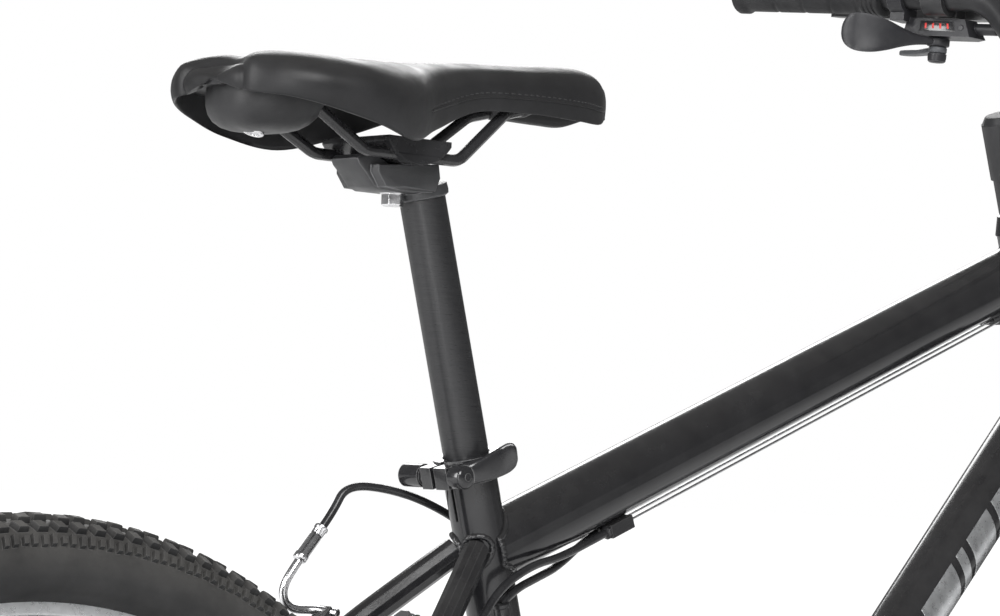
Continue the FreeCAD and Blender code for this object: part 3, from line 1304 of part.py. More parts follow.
def rear_derailleur_body():
    """Upper knuckle on the hanger, with the plate and pins that carry the two links."""
    outer = -DROPOUT_INNER - DROPOUT_THICKNESS
    knuckle = rod(V(HANGER.x, outer - 15, HANGER.z), V(HANGER.x, outer, HANGER.z), 20)
    bolt = rod(V(HANGER.x, outer, HANGER.z), V(HANGER.x, -DROPOUT_INNER - 1, HANGER.z), 8)
    cap = hexagon(V(HANGER.x, outer - 15, HANGER.z), V(0, -1, 0), 11, 3)
    first, second = link_pivots()[:2]
    near = LINK_HALF + CLEAR
    plate = capsule(first, second, 6.0, near, near + 4)
    pins = [rod(p + V(-LINK_HALF, 0, 0), p + V(near + 1, 0, 0), LINK_PIN) for p in (first, second)]
    arm = box(V(near, 0.5, -2), V(near + 7, 11, 22))
    carrier = placed(plate.fuse(pins + [arm]), LINK_FRAME)
    barrel = rod(V(HANGER.x - 4, GEAR_END.y, HANGER.z - 2), GEAR_END, 8)
    return biggest(knuckle.fuse([bolt, cap, barrel, carrier]))


def derailleur_knuckle():
    """Lower knuckle: the plate and pins at the links' far ends, and the barrel with the cage's pivot."""
    first, second = link_pivots()[2:]
    far = -LINK_HALF - CLEAR
    plate = capsule(first, second, 6.0, far - 4, far)
    pins = [rod(p + V(far - 1, 0, 0), p + V(LINK_HALF, 0, 0), LINK_PIN) for p in (first, second)]
    arm = box(V(far - 6, first.y - 2, -54), V(far, second.y + 2, first.z))
    carrier = placed(plate.fuse(pins + [arm]), LINK_FRAME)
    pivot_low = V(CAGE_PIVOT.x, KNUCKLE_FACE - CLEAR - 18, CAGE_PIVOT.z)
    pivot_high = V(CAGE_PIVOT.x, KNUCKLE_FACE - CLEAR, CAGE_PIVOT.z)
    barrel = rod(pivot_low, pivot_high, 22)
    pin = rod(pivot_high, V(CAGE_PIVOT.x, KNUCKLE_FACE + CAGE_PLATE, CAGE_PIVOT.z), CAGE_PIN)
    return biggest(barrel.fuse([pin, carrier]))


def derailleur_cage():
    """Two cage plates with waisted outlines, joined by the pulley bolts."""
    plates = []
    across = V(CAGE_WAY.z, 0, -CAGE_WAY.x)
    outline = [(-15, -4), (-10, -12), (4, -13), (24, -9), (46, -10), (62, -12), (70, -5), (70, 5), (62, 12),
               (46, 8), (24, 7), (4, 13), (-10, 12), (-15, 4)]
    for y in (KNUCKLE_FACE, -CHAINLINE + CAGE_GAP):
        corners = [GUIDE_PULLEY + CAGE_WAY * a + across * b + V(0, y, 0) for a, b in outline]
        plates.append(prism(corners, V(0, CAGE_PLATE, 0)))
    inner_face = V(CAGE_PIVOT.x, KNUCKLE_FACE + CAGE_PLATE, CAGE_PIVOT.z)
    boss = rod(V(CAGE_PIVOT.x, KNUCKLE_FACE, CAGE_PIVOT.z), inner_face, 20)
    bolts = [rod(p + V(0, KNUCKLE_FACE, 0), p + V(0, -CHAINLINE + CAGE_GAP + CAGE_PLATE + 1, 0), PULLEY_PIN)
             for p in (GUIDE_PULLEY, IDLER_PULLEY)]
    cage = plates[0].fuse([plates[1], boss] + bolts)
    hole = rod(V(CAGE_PIVOT.x, KNUCKLE_FACE - 1, CAGE_PIVOT.z), inner_face, CAGE_PIN + 2 * RUNNING)
    return biggest(cage.cut(hole))


def derailleur_pulley(centre):
    """A toothed jockey wheel on its bolt."""
    wheel = toothed(PULLEY_TEETH, 2.2, PULLEY_PIN + 2 * RUNNING, -CHAINLINE, flat_tips=False)
    hub_half = CAGE_GAP - CLEAR
    middle = V(0, -CHAINLINE, 0)
    boss = pipe(middle - V(0, hub_half, 0), middle + V(0, hub_half, 0), 15, PULLEY_PIN + 2 * RUNNING)
    return moved(wheel.fuse(boss), centre)


# ---------------------------------------------------------------- front derailleur and chain
FD_CLAMP_AT = 150.0
FD_HINGE = BB + V(-41, -32, 134)
FD_PIN = 4.0
FD_INNER = -CHAINLINE + 5.0
FD_OUTER = -CHAINLINE - 5.0


def sector(inner, outer, start, end, y, thickness):
    """A flat arched plate about the bottom bracket, angles from +X towards +Z."""
    low, high = math.radians(start), math.radians(end)
    middle = (low + high) / 2
    at = [V(r * math.cos(a), y, r * math.sin(a)) for r, a in (
        (inner, low), (inner, middle), (inner, high), (outer, high), (outer, middle), (outer, low))]
    edges = [Part.Arc(at[0], at[1], at[2]).toShape(), Part.makeLine(at[2], at[3]),
             Part.Arc(at[3], at[4], at[5]).toShape(), Part.makeLine(at[5], at[0])]
    return moved(Part.Face(Part.Wire(edges)).extrude(V(0, thickness, 0)), BB)


def front_derailleur_cage():
    """Arched cage plates over the rings, bridged at both ends, hung from a pin on the clamp."""
    biggest_ring = pitch_radius(CHAINRINGS[2])
    inner_plate = sector(biggest_ring - 1, biggest_ring + 26, 96, 151, FD_INNER, 1.4)
    outer_plate = sector(biggest_ring + 6.5, biggest_ring + 24, 94, 153, FD_OUTER - 1.4, 1.4)
    bridge = sector(biggest_ring + 21, biggest_ring + 23, 97, 113, FD_OUTER - 1, FD_INNER - FD_OUTER + 2)
    tail = sector(biggest_ring + 20, biggest_ring + 22, 147, 150.5, FD_OUTER - 1, FD_INNER - FD_OUTER + 2)
    hub = rod(FD_HINGE + V(-7, 0, 0), FD_HINGE + V(7, 0, 0), 9)
    outline = [(-6.5, 2), (6.5, 2), (6.5, -6), (19, -30), (-11, -44), (-6.5, -6)]
    outline = [(FD_HINGE.x + x, FD_HINGE.z + z) for x, z in outline]
    hanger = side_plate(outline, FD_HINGE.y - 5, FD_HINGE.y - 2)
    shelf = box(V(BB.x - 52, FD_INNER - 0.5, BB.z + 96), V(BB.x - 26, FD_HINGE.y - 2, BB.z + 100))
    cage = inner_plate.fuse([outer_plate, bridge, tail, hub, hanger, shelf])
    return biggest(cage.cut(rod(FD_HINGE + V(-8, 0, 0), FD_HINGE + V(8, 0, 0), FD_PIN + 2 * RUNNING)))


def front_derailleur_clamp():
    """Clamp band on the seat tube with a fork that holds the cage's hinge pin."""
    low = SEAT_FRAME.multVec(V(0, 0, FD_CLAMP_AT - 6))
    high = SEAT_FRAME.multVec(V(0, 0, FD_CLAMP_AT + 6))
    band = rod(low, high, SEAT_TUBE + 6)
    ears = []
    for sign in (-1, 1):
        x = FD_HINGE.x + sign * 9.3
        ears.append(box(V(x - 2, FD_HINGE.y - 4, FD_HINGE.z - 4), V(x + 2, -10, FD_HINGE.z + 8)))
    pin = rod(FD_HINGE + V(-11, 0, 0), FD_HINGE + V(11, 0, 0), FD_PIN)
    return biggest(band.fuse(ears + [pin]).cut(seat_tube_outside()))


def chain_loop(offset):
    """A closed wire of tangents and arcs round the middle sprockets, moved sideways by an offset."""
    stops = [(REAR_AXLE, -pitch_radius(MIDDLE_SPROCKET)), (BB, -pitch_radius(MIDDLE_RING)),
             (IDLER_PULLEY, -pitch_radius(PULLEY_TEETH)), (GUIDE_PULLEY, pitch_radius(PULLEY_TEETH))]
    stops = [(V(centre.x, 0, centre.z), radius - offset) for centre, radius in stops]
    tangents = []
    for index, (centre, radius) in enumerate(stops):
        far, far_radius = stops[(index + 1) % len(stops)]
        gap = far - centre
        heading = math.atan2(gap.z, gap.x) - math.asin((far_radius - radius) / gap.Length)
        normal = V(-math.sin(heading), 0, math.cos(heading))
        tangents.append((centre - normal * radius, far - normal * far_radius))
    edges = []
    for index, (centre, radius) in enumerate(stops):
        arrive = tangents[index - 1][1]
        leave = tangents[index][0]
        start = math.atan2(arrive.z - centre.z, arrive.x - centre.x)
        end = math.atan2(leave.z - centre.z, leave.x - centre.x)
        sense = 1 if radius > 0 else -1
        sweep = (sense * (end - start)) % (2 * math.pi)
        half = start + sense * sweep / 2
        middle = centre + V(math.cos(half), 0, math.sin(half)) * abs(radius)
        edges.append(Part.Arc(arrive, middle, leave).toShape())
        edges.append(Part.makeLine(leave, tangents[index][1]))
    return Part.Wire(edges)


CHAIN_PLATE = 1.8
CHAIN_CLEAR = 1.5


def chain():
    """The chain as its two rows of plates, one each side of the teeth."""
    outer = Part.Face(chain_loop(CHAIN_HEIGHT / 2))
    inner = Part.Face(chain_loop(-CHAIN_HEIGHT / 2))
    band = outer.extrude(V(0, CHAIN_PLATE, 0)).cut(inner.extrude(V(0, CHAIN_PLATE, 0)))
    sides = (-CHAINLINE + CHAIN_CLEAR, -CHAINLINE - CHAIN_CLEAR - CHAIN_PLATE)
    return group(*[moved(band, V(0, y, 0)) for y in sides])


# ---------------------------------------------------------------- cables
def lane_mouth(back, lane):
    """Where a housing's end sits in the rear or the front row of stops."""
    if back:
        return cable_lane(STOP_BACK + STOP_BACK_LENGTH - SEAT_DEPTH, lane)
    return cable_lane(STOP_FRONT + SEAT_DEPTH, lane)


GEAR_ROUTE = [V(-164, -17, 640), V(-196, -26, 636), V(-226, -30, 623), V(-250, -35, 598), V(-290, -55, 560),
              V(-345, -65, 505), V(-405, -71, 450), V(-460, -76, 404), V(-510, -82, 376), V(-556, -86, 368),
              V(-598, -88, 354), V(-620, -87, 326), V(-614, -83, 301)]
FRONT_GEAR_ROUTE = [V(-158, -9, 634), V(-184, -18, 628), V(-206, -21, 621)]
FRONT_GEAR_STOP = V(-213.5, -20.5, 606)
BRAKE_ROUTE = [V(-158, 16, 640), V(-190, 24, 649), V(-222, 25, 666), V(-252, 33, 677), V(-284, 42, 680)]


def rear_cables():
    """Bare cables under the top tube, and the three housings behind them."""
    pieces = []
    for lane in STOP_LANES:
        start = lane_mouth(True, lane)
        end = lane_mouth(False, lane)
        pieces.append(hexagon(start, end - start, CABLE, (end - start).Length))
    starts = [lane_mouth(True, lane) for lane in STOP_LANES]
    leads = [cable_lane(STOP_BACK + STOP_BACK_LENGTH + 8, lane) for lane in STOP_LANES]
    gear = [starts[0], leads[0]] + GEAR_ROUTE + [GEAR_LEAD, GEAR_END]
    pieces.append(swept(gear, HOUSING, sides=6))
    stop_way = (SEAT_TOP - BB).normalize()
    stop_top = FRONT_GEAR_STOP + stop_way * 7
    pieces.append(swept([starts[1], leads[1]] + FRONT_GEAR_ROUTE + [stop_top], HOUSING, sides=6))
    pieces.append(rod(FRONT_GEAR_STOP - stop_way * 8, stop_top, 8).cut(seat_tube_outside()))
    wire_end = FD_HINGE + V(-5, -4, 14)
    wire_start = FRONT_GEAR_STOP - stop_way * 8
    pieces.append(hexagon(wire_start, wire_end - wire_start, CABLE, (wire_end - wire_start).Length))
    ferrule = brake_pair(REAR_BRAKE_FRAME, REAR_AXLE, REAR_ARM_BACK, REAR_NOODLE)[2]
    pieces.append(swept([starts[2], leads[2]] + BRAKE_ROUTE + ferrule, HOUSING, sides=6))
    return group(*pieces)


RIGHT_GEAR = [V(424, -62, 1018), V(440, -44, 978), V(440, -36, 925), V(418, -33, 876), V(382, -31, 848),
              V(340, -28.5, 830), V(314, -24, 821)]
REAR_BRAKE = [V(444, -52, 1040), V(468, -18, 1012), V(472, 12, 965), V(456, 30, 915), V(430, 34, 880),
              V(390, 33, 855), V(346, 29, 839), V(314, 24, 823)]
LEFT_GEAR = [V(424, 62, 1016), V(436, 50, 968), V(430, 44, 905), V(404, 42, 850), V(370, 37, 820),
             V(336, 30, 811), V(308, 22, 810)]
FRONT_BRAKE = [V(452, 52, 1044), V(478, 18, 1026), V(490, -16, 982), V(484, -42, 925), V(462, -56, 860),
               V(438, -60, 800)]
BRAKE_BARREL_END = (PERCH_AT - 50, LEVER_PIVOT[1] - 4, LEVER_PIVOT[2])


def lever_lead(end):
    """A control's barrel end on the left, and a point straight on from it."""
    along, forward, up = end
    return [bar_at(along, forward, up), bar_at(along - HOUSING_LEAD, forward, up)]


def front_cables():
    """Housings from the controls to the front stops, and to the front brake."""
    gear = lever_lead(GEAR_BARREL_END)
    brake = lever_lead(BRAKE_BARREL_END)
    gear_right = [V(p.x, -p.y, p.z) for p in gear]
    brake_right = [V(p.x, -p.y, p.z) for p in brake]
    leads = [cable_lane(STOP_FRONT - 5, lane) for lane in STOP_LANES]
    ends = [lane_mouth(False, lane) for lane in STOP_LANES]
    ferrule = brake_pair(FRONT_BRAKE_FRAME, FRONT_AXLE, FRONT_ARM_BACK, FRONT_NOODLE)[2]
    routes = [gear_right + RIGHT_GEAR + [leads[0], ends[0]], brake_right + REAR_BRAKE + [leads[2], ends[2]],
              gear + LEFT_GEAR + [leads[1], ends[1]], brake + FRONT_BRAKE + ferrule]
    return group(*[swept(points, HOUSING, sides=6) for points in routes])


# ---------------------------------------------------------------- nodes
def nodes():
    """Every node of the bike by name."""
    rear_bearer, rear_anchor = brake_pair(REAR_BRAKE_FRAME, REAR_AXLE, REAR_ARM_BACK, REAR_NOODLE)[:2]
    front_bearer, front_anchor = brake_pair(FRONT_BRAKE_FRAME, FRONT_AXLE, FRONT_ARM_BACK, FRONT_NOODLE)[:2]
    lever = brake_lever_shape()
    thumb = shift_thumb_shape()
    release = shift_release_shape()
    return {
        "head_tube": head_tube(),
        "top_tube": top_tube(),
        "down_tube": down_tube(),
        "seat_tube": seat_tube(),
        "bottom_bracket": bottom_bracket(),
        "chain_stays": chain_stays(),
        "seat_stays": seat_stays(),
        "dropouts": dropouts(),
        "headset_cups": headset_cups(),
        "seat_collar": seat_collar(),
        "seat_qr_lever": seat_qr_lever(),
        "rear_axle": rear_axle(),
        "front_derailleur_clamp": front_derailleur_clamp(),
        "front_derailleur_cage": front_derailleur_cage(),
        "rear_derailleur_body": rear_derailleur_body(),
        "derailleur_link_outer": derailleur_link(0),
        "derailleur_link_inner": derailleur_link(1),
        "derailleur_knuckle": derailleur_knuckle(),
        "derailleur_cage": derailleur_cage(),
        "guide_pulley": derailleur_pulley(GUIDE_PULLEY),
        "idler_pulley": derailleur_pulley(IDLER_PULLEY),
        "chain": chain(),
        "cranks": cranks(),
        "chainrings": chainrings(),
        "pedal_left": pedal(1),
        "pedal_right": pedal(-1),
        "cassette": cassette(),
        "seatpost": seatpost(),
        "seat_clamp_head": seat_clamp_head(),
        "saddle_rails": saddle_rails(),
        "saddle_base": saddle_base(),
        "saddle_cover": saddle_cover(),
        "fork_crown": fork_crown(),
        "stem": stem(),
        "handlebar": handlebar(),
        "grips": grips(),
        "brake_perches": brake_perches(),
        "shifter_bodies": shifter_bodies(),
        "brake_lever_left": lever,
        "brake_lever_right": mirrored(lever),
        "shift_thumb_left": thumb,
        "shift_thumb_right": mirrored(thumb),
        "shift_release_left": release,
        "shift_release_right": mirrored(release),
        "fork_lowers": fork_lowers(),
        "front_axle": front_axle(),
        "front_tyre": tyre(FRONT_AXLE),
        "front_rim": rim(FRONT_AXLE),
        "front_spokes": spokes(FRONT_AXLE, FRONT_HUB_SHAPE),
        "front_hub": hub(FRONT_AXLE, FRONT_HUB_SHAPE, AXLE_FRONT),
        "rear_tyre": tyre(REAR_AXLE),
        "rear_rim": rim(REAR_AXLE),
        "rear_spokes": spokes(REAR_AXLE, REAR_HUB_SHAPE),
        "rear_hub": hub(REAR_AXLE, REAR_HUB_SHAPE, AXLE_REAR),
        "front_brake_right": front_bearer,
        "front_brake_left": front_anchor,
        "rear_brake_left": rear_bearer,
        "rear_brake_right": rear_anchor,
        "rear_cables": rear_cables(),
        "front_cables": front_cables(),
    }


def report_places():
    """The places that a record of the joints and mounts needs."""
    print("crown race", CROWN_RACE, "head top", HEAD_TOP)
    print("rear boss left/right", REAR_BRAKE_FRAME.multVec(V(0, -BOSS_Y, 0)), "axis", BRAKE_OUT_REAR)
    print("front boss", FRONT_BRAKE_FRAME.multVec(V(0, BOSS_Y, 0)), "axis", HEAD_TURN.multVec(ALONG_X))
    print("lever hinge", LEVER_HINGE, "tilt", TILT_CENTRE, "bar way", BAR_WAY, "bar up", BAR_UP)
    print("brake pivot", bar_at(*LEVER_PIVOT), "shift pivot", bar_at(*SHIFT_PIVOT, 0.0))
    print("link origin", LINK_ORIGIN, "pivots", [LINK_FRAME.multVec(p) for p in link_pivots()])
    print("cage pivot", CAGE_PIVOT, "guide", GUIDE_PULLEY, "idler", IDLER_PULLEY)
    print("fd hinge", FD_HINGE, "bb", BB, "post top", POST_TOP, "seat top", SEAT_TOP)
    print("bottle bosses", [bottle_boss(along) for along in BOTTLE_BOSSES], "up", DOWN_WAY.cross(ALONG_Y))


def main():
    os.makedirs("parts", exist_ok=True)
    report_places()
    for name, shape in nodes().items():
        shape.exportStep("parts/" + name + ".step")
        print(name, len(shape.Solids), shape.isValid(), round(shape.Volume / 1000, 1))


main()
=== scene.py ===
# %% [markdown]
# # A hardtail mountain bike
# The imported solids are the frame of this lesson: every tube, wheel and lever is already in its place.
# Here they get their finishes, and the parts that a solid can't show well get pieces of their own:
# the padded saddle, the knobbly tyres, the grips, the levers, the cables and the weld beads.

# %% Load the frame
import math
import bpy
from mathutils import Matrix, Vector


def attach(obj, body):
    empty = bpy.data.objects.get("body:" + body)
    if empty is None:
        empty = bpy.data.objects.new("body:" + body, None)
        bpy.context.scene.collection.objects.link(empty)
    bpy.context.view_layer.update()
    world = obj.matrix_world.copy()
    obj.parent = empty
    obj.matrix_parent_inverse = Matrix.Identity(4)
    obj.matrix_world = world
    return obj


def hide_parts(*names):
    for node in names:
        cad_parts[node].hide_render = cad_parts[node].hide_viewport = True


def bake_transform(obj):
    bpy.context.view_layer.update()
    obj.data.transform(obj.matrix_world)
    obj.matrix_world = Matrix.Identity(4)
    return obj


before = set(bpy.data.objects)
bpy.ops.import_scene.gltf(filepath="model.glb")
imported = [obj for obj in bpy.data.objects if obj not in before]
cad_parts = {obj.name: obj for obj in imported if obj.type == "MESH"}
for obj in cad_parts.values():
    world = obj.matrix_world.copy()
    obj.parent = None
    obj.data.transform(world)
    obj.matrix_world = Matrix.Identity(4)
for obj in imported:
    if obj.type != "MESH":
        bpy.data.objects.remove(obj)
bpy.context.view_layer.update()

# %% [markdown]
# ## The camera
# The bike is seen from its right rear, a little above the hubs, through a long lens. A camera's axes are
# built by hand here, from a heading, a pitch and a small roll, because that keeps the view exact.

# %% Place the camera
HEADING, PITCH, ROLL = (math.radians(angle) for angle in (43.77, 2.66, 2.05))
EYE = Vector((-1.4738, -1.3243, 0.7021))
SENSOR = 36.0
LENS = 111.02
ahead = Vector((math.sin(HEADING) * math.cos(PITCH), math.cos(HEADING) * math.cos(PITCH),
                math.sin(PITCH)))
level = Vector((math.cos(HEADING), -math.sin(HEADING), 0))
upward = level.cross(ahead)
camera_right = math.cos(ROLL) * level + math.sin(ROLL) * upward
camera_up = -math.sin(ROLL) * level + math.cos(ROLL) * upward
camera_data = bpy.data.cameras.new("camera")
camera_data.sensor_width = SENSOR
camera_data.lens = LENS
camera_data.clip_end = 100
camera = bpy.data.objects.new("camera", camera_data)
turn = Matrix((camera_right, camera_up, -ahead)).transposed()
camera.matrix_world = Matrix.Translation(EYE) @ turn.to_4x4()
bpy.context.scene.collection.objects.link(camera)
bpy.context.scene.camera = camera
print("camera at", tuple(round(v, 3) for v in EYE))

# %% [markdown]
# ## Helpers for meshes
# Most pieces are grids: rows of points joined row to row. One function turns such a grid into a mesh,
# closed round or open, with its ends capped, so that every piece is a clean closed form.

# %% Mesh helpers
MM = 0.001
TURN = 2 * math.pi


def add_object(name, data, body, material=None):
    """Links a piece, makes it ride on its body and gives it a finish."""
    piece = bpy.data.objects.new(name, data)
    bpy.context.scene.collection.objects.link(piece)
    if material:
        data.materials.append(material)
    if body:
        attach(piece, body)
    return piece


def make_mesh(name, points, faces, smooth=True):
    """A mesh from points in metres and faces."""
    mesh = bpy.data.meshes.new(name)
    mesh.from_pydata([tuple(p) for p in points], [], faces)
    mesh.validate()
    mesh.update()
    mesh.polygons.foreach_set("use_smooth", [smooth] * len(mesh.polygons))
    return mesh


def grid_faces(rows, columns, wrap_rows=False, wrap_columns=True, start=0):
    """Quads that join a grid of rows."""
    faces = []
    for r in range(rows if wrap_rows else rows - 1):
        for c in range(columns if wrap_columns else columns - 1):
            a = start + r * columns + c
            b = start + r * columns + (c + 1) % columns
            d = start + ((r + 1) % rows) * columns + c
            e = start + ((r + 1) % rows) * columns + (c + 1) % columns
            faces.append((a, b, e, d))
    return faces


class Parts:
    """Collects several shells into one mesh."""

    def __init__(self):
        self.points = []
        self.faces = []

    def grid(self, rows, wrap_rows=False, caps=True):
        """A shell from closed rows of points, with its ends capped."""
        start = len(self.points)
        columns = len(rows[0])
        for row in rows:
            self.points.extend(row)
        self.faces.extend(grid_faces(len(rows), columns, wrap_rows, True, start))
        if caps and not wrap_rows:
            self.faces.append(tuple(start + c for c in reversed(range(columns))))
            last = start + (len(rows) - 1) * columns
            self.faces.append(tuple(last + c for c in range(columns)))

    def mesh(self, name, smooth=True):
        return make_mesh(name, self.points, self.faces, smooth)


def across(way):
    """Two directions square to a direction."""
    way = way.normalized()
    side = way.cross(Vector((0, 0, 1)))
    if side.length < 0.1:
        side = way.cross(Vector((0, 1, 0)))
    side.normalize()
    return side, way.cross(side).normalized()


def lathe_rows(start, way, profile, sides=32):
    """Rows of a turned shape: profile holds (distance along, radius)."""
    way = way.normalized()
    u, v = across(way)
    rows = []
    for along, radius in profile:
        centre = start + way * along
        ring = [TURN * k / sides for k in range(sides)]
        rows.append([centre + (u * math.cos(a) + v * math.sin(a)) * radius for a in ring])
    return rows


def sharpen(mesh, degrees=35):
    """Keeps the crisp edges of a smooth-shaded mesh."""
    mesh.set_sharp_from_angle(angle=math.radians(degrees))
    return mesh


def squared(wave, power):
    """A sine or cosine raised to a power under 1 with its sign kept: it squares off a round section."""
    return math.copysign(abs(wave) ** power, wave)


print("helpers ready")

# %% [markdown]
# ## The cables
# A housing is a springy tube that is held at both ends and bows between them. It is drawn as a NURBS
# curve with a few control points, because such a curve never kinks. The bare inner cables run straight.

# %% The bike's own directions
TOP_RISE = math.radians(21.26)
TOP_FRONT = Vector((311.372, 0, 873.238)) - Vector((-0.325568, 0, 0.945519)) * 25
TOP_BACK_WAY = Vector((-math.cos(TOP_RISE), 0, -math.sin(TOP_RISE)))
TOP_UP = Vector((-math.sin(TOP_RISE), 0, math.cos(TOP_RISE)))
CABLE_DROP = 23.7
BAR_TURN = math.radians(10.33)
BAR_LIFT = math.radians(4.46)
BAR_WAY = Vector((-math.sin(BAR_TURN), math.cos(BAR_TURN) * math.cos(BAR_LIFT),
                  math.sin(BAR_LIFT))).normalized()
BAR_AHEAD = BAR_WAY.cross(Vector((0, 0, 1))).normalized()
BAR_UP = BAR_AHEAD.cross(BAR_WAY).normalized()
BAR_ROOT = Vector((394.4, 60, 1054.5))
SEAT_ROOT = Vector((-113.692, 0, 299))
SEAT_UP = Vector((-math.cos(math.radians(74)), 0, math.sin(math.radians(74))))
SEAT_AHEAD = Vector((SEAT_UP.z, 0, -SEAT_UP.x))


def lane(along, side):
    """A point under the top tube, in millimetres back from its front end."""
    return TOP_FRONT + TOP_BACK_WAY * along - TOP_UP * CABLE_DROP + Vector((0, side, 0))


def bar(along, ahead=0.0, up=0.0, sign=1):
    """A point by the handlebar: distance out along the grip line, forward and up."""
    place = BAR_ROOT + BAR_WAY * (along - 60) + BAR_AHEAD * ahead + BAR_UP * up
    return Vector((place.x, sign * place.y, place.z))


def by_seat(along, ahead=0.0, side=0.0):
    """A point by the seat tube: distance up it, forward and to the left."""
    return SEAT_ROOT + SEAT_UP * along + SEAT_AHEAD * ahead + Vector((0, side, 0))


print("handlebar runs", tuple(round(v, 3) for v in BAR_WAY))

# %% The brakes' own directions
REAR_BRAKE = (Vector((-363.920, 0, 514.427)), Vector((-0.712793, 0, 0.701375)), 1,
              Vector((0.701375, 0, 0.712793)))
FRONT_BRAKE = (Vector((447.900, 0, 568.880)), Vector((0.945519, 0, 0.325568)), -1,
               Vector((-0.325568, 0, 0.945519)))
REAR_START = Vector((14.5, 33, 104))
FRONT_START = Vector((34.5, 33, 104))
REAR_NOODLE = [(2, -3, 7), (5, 9, 6), (19, 15, -8), (31, 15, -4), (36, 12, 14), (38, 11, 40)]
FRONT_NOODLE = [(0, -2, 5.5), (3, 14, 6), (6, 24, 12), (7, 27, 34), (6, 26, 58)]


def by_brake(brake, out, side, high):
    """A point by a brake: out from the frame, sideways on the guide tube's side, away from the axle."""
    origin, out_way, sign, high_way = brake
    return origin + out_way * out + Vector((0, sign * side, 0)) + high_way * high


def noodle_points(brake, start, offsets):
    """The guide tube's control points, from its cradle to its ferrule's mouth."""
    return [by_brake(brake, *(start + Vector(offset))) for offset in offsets]


rear_noodle = noodle_points(REAR_BRAKE, REAR_START, REAR_NOODLE)
front_noodle = noodle_points(FRONT_BRAKE, FRONT_START, FRONT_NOODLE)
print("rear guide tube ends at", tuple(round(v, 1) for v in rear_noodle[-1]))

# %% Routes of the housings
GEAR_ROUTE = [(-164, -17, 640), (-196, -26, 636), (-226, -30, 623), (-250, -35, 598), (-290, -55, 560),
              (-345, -65, 505), (-405, -71, 450), (-460, -76, 404), (-510, -82, 376), (-556, -86, 368),
              (-598, -88, 354), (-620, -87, 326), (-614, -83, 301), (-588, -81, 289), (-574, -81, 294)]
FRONT_GEAR_ROUTE = [(-158, -9, 634), (-184, -18, 628), (-206, -21, 621)]
FRONT_GEAR_STOP = Vector((-213.5, -20.5, 606))
BRAKE_ROUTE = [(-158, 16, 640), (-190, 24, 649), (-222, 25, 666), (-252, 33, 677), (-284, 42, 680)]
RIGHT_GEAR = [(424, -62, 1018), (440, -44, 978), (440, -36, 925), (418, -33, 876), (382, -31, 848),
              (340, -28.5, 830), (314, -24, 821)]
TO_REAR_BRAKE = [(444, -52, 1040), (468, -18, 1012), (472, 12, 965), (456, 30, 915), (430, 34, 880),
                 (390, 33, 855), (346, 29, 839), (314, 24, 823)]
LEFT_GEAR = [(424, 62, 1016), (436, 50, 968), (430, 44, 905), (404, 42, 850), (370, 37, 820),
             (336, 30, 811), (308, 22, 810)]
TO_FRONT_BRAKE = [(452, 52, 1044), (478, 18, 1026), (490, -16, 982), (484, -42, 925), (462, -56, 860),
                  (438, -60, 800)]
BACK_MOUTH = 468.0
BACK_LEAD = 484.0
FRONT_MOUTH = 52.0
FRONT_LEAD = 39.0
HOUSING = 5.0
BARE = 1.6


def vectors(points):
    return [Vector(p) for p in points]


def ferrule_lead(points, length=12):
    """A point straight on from the end of a guide tube, and the end itself."""
    way = (points[-1] - points[-2]).normalized()
    return [points[-1] + way * length, points[-1]]


def barrel_lead(along, ahead, up, sign):
    """A control's barrel end, and a point straight on from it."""
    return [bar(along, ahead, up, sign), bar(along - 12, ahead, up, sign)]


rear_routes = {
    "gear_housing": [lane(BACK_MOUTH, -8), lane(BACK_LEAD, -8)] + vectors(GEAR_ROUTE),
    "front_gear_housing": [lane(BACK_MOUTH, 0), lane(BACK_LEAD, 0)] + vectors(FRONT_GEAR_ROUTE)
    + [FRONT_GEAR_STOP + SEAT_UP * 7],
    "brake_housing": [lane(BACK_MOUTH, 8), lane(BACK_LEAD, 8)] + vectors(BRAKE_ROUTE)
    + ferrule_lead(rear_noodle),
}
bar_routes = {
    "right_gear_housing": barrel_lead(98, 18, -22.5, -1) + vectors(RIGHT_GEAR)
    + [lane(FRONT_LEAD, -8), lane(FRONT_MOUTH, -8)],
    "rear_brake_housing": barrel_lead(90, 26, -6, -1) + vectors(TO_REAR_BRAKE)
    + [lane(FRONT_LEAD, 8), lane(FRONT_MOUTH, 8)],
    "left_gear_housing": barrel_lead(98, 18, -22.5, 1) + vectors(LEFT_GEAR)
    + [lane(FRONT_LEAD, 0), lane(FRONT_MOUTH, 0)],
    "front_brake_housing": barrel_lead(90, 26, -6, 1) + vectors(TO_FRONT_BRAKE)
    + ferrule_lead(front_noodle),
}
print("routes:", {name: len(points) for name, points in {**rear_routes, **bar_routes}.items()})

# %% Draw a route as a smooth tube


def tube_curve(name, points, diameter, order=3):
    """A round tube on a NURBS curve. The order is set after the points, or it falls back to straight runs."""
    data = bpy.data.curves.new(name, "CURVE")
    data.dimensions = "3D"
    data.bevel_depth = diameter / 2 * MM
    data.bevel_resolution = 4
    data.use_fill_caps = True
    line = data.splines.new("NURBS")
    line.points.add(len(points) - 1)
    for spot, point in zip(line.points, points):
        spot.co = (*(point * MM), 1)
    line.order_u = order
    line.use_endpoint_u = True
    line.resolution_u = 12
    line.use_smooth = True
    return data


def tube_mesh(name, points, diameter):
    """The same tube as a mesh."""
    data = tube_curve(name, points, diameter)
    holder = bpy.data.objects.new(name + "_curve", data)
    bpy.context.scene.collection.objects.link(holder)
    bpy.context.view_layer.update()
    graph = bpy.context.evaluated_depsgraph_get()
    mesh = bpy.data.meshes.new_from_object(holder.evaluated_get(graph))
    bpy.data.objects.remove(holder)
    mesh.name = name
    mesh.polygons.foreach_set("use_smooth", [True] * len(mesh.polygons))
    return mesh


print("tubes ready")

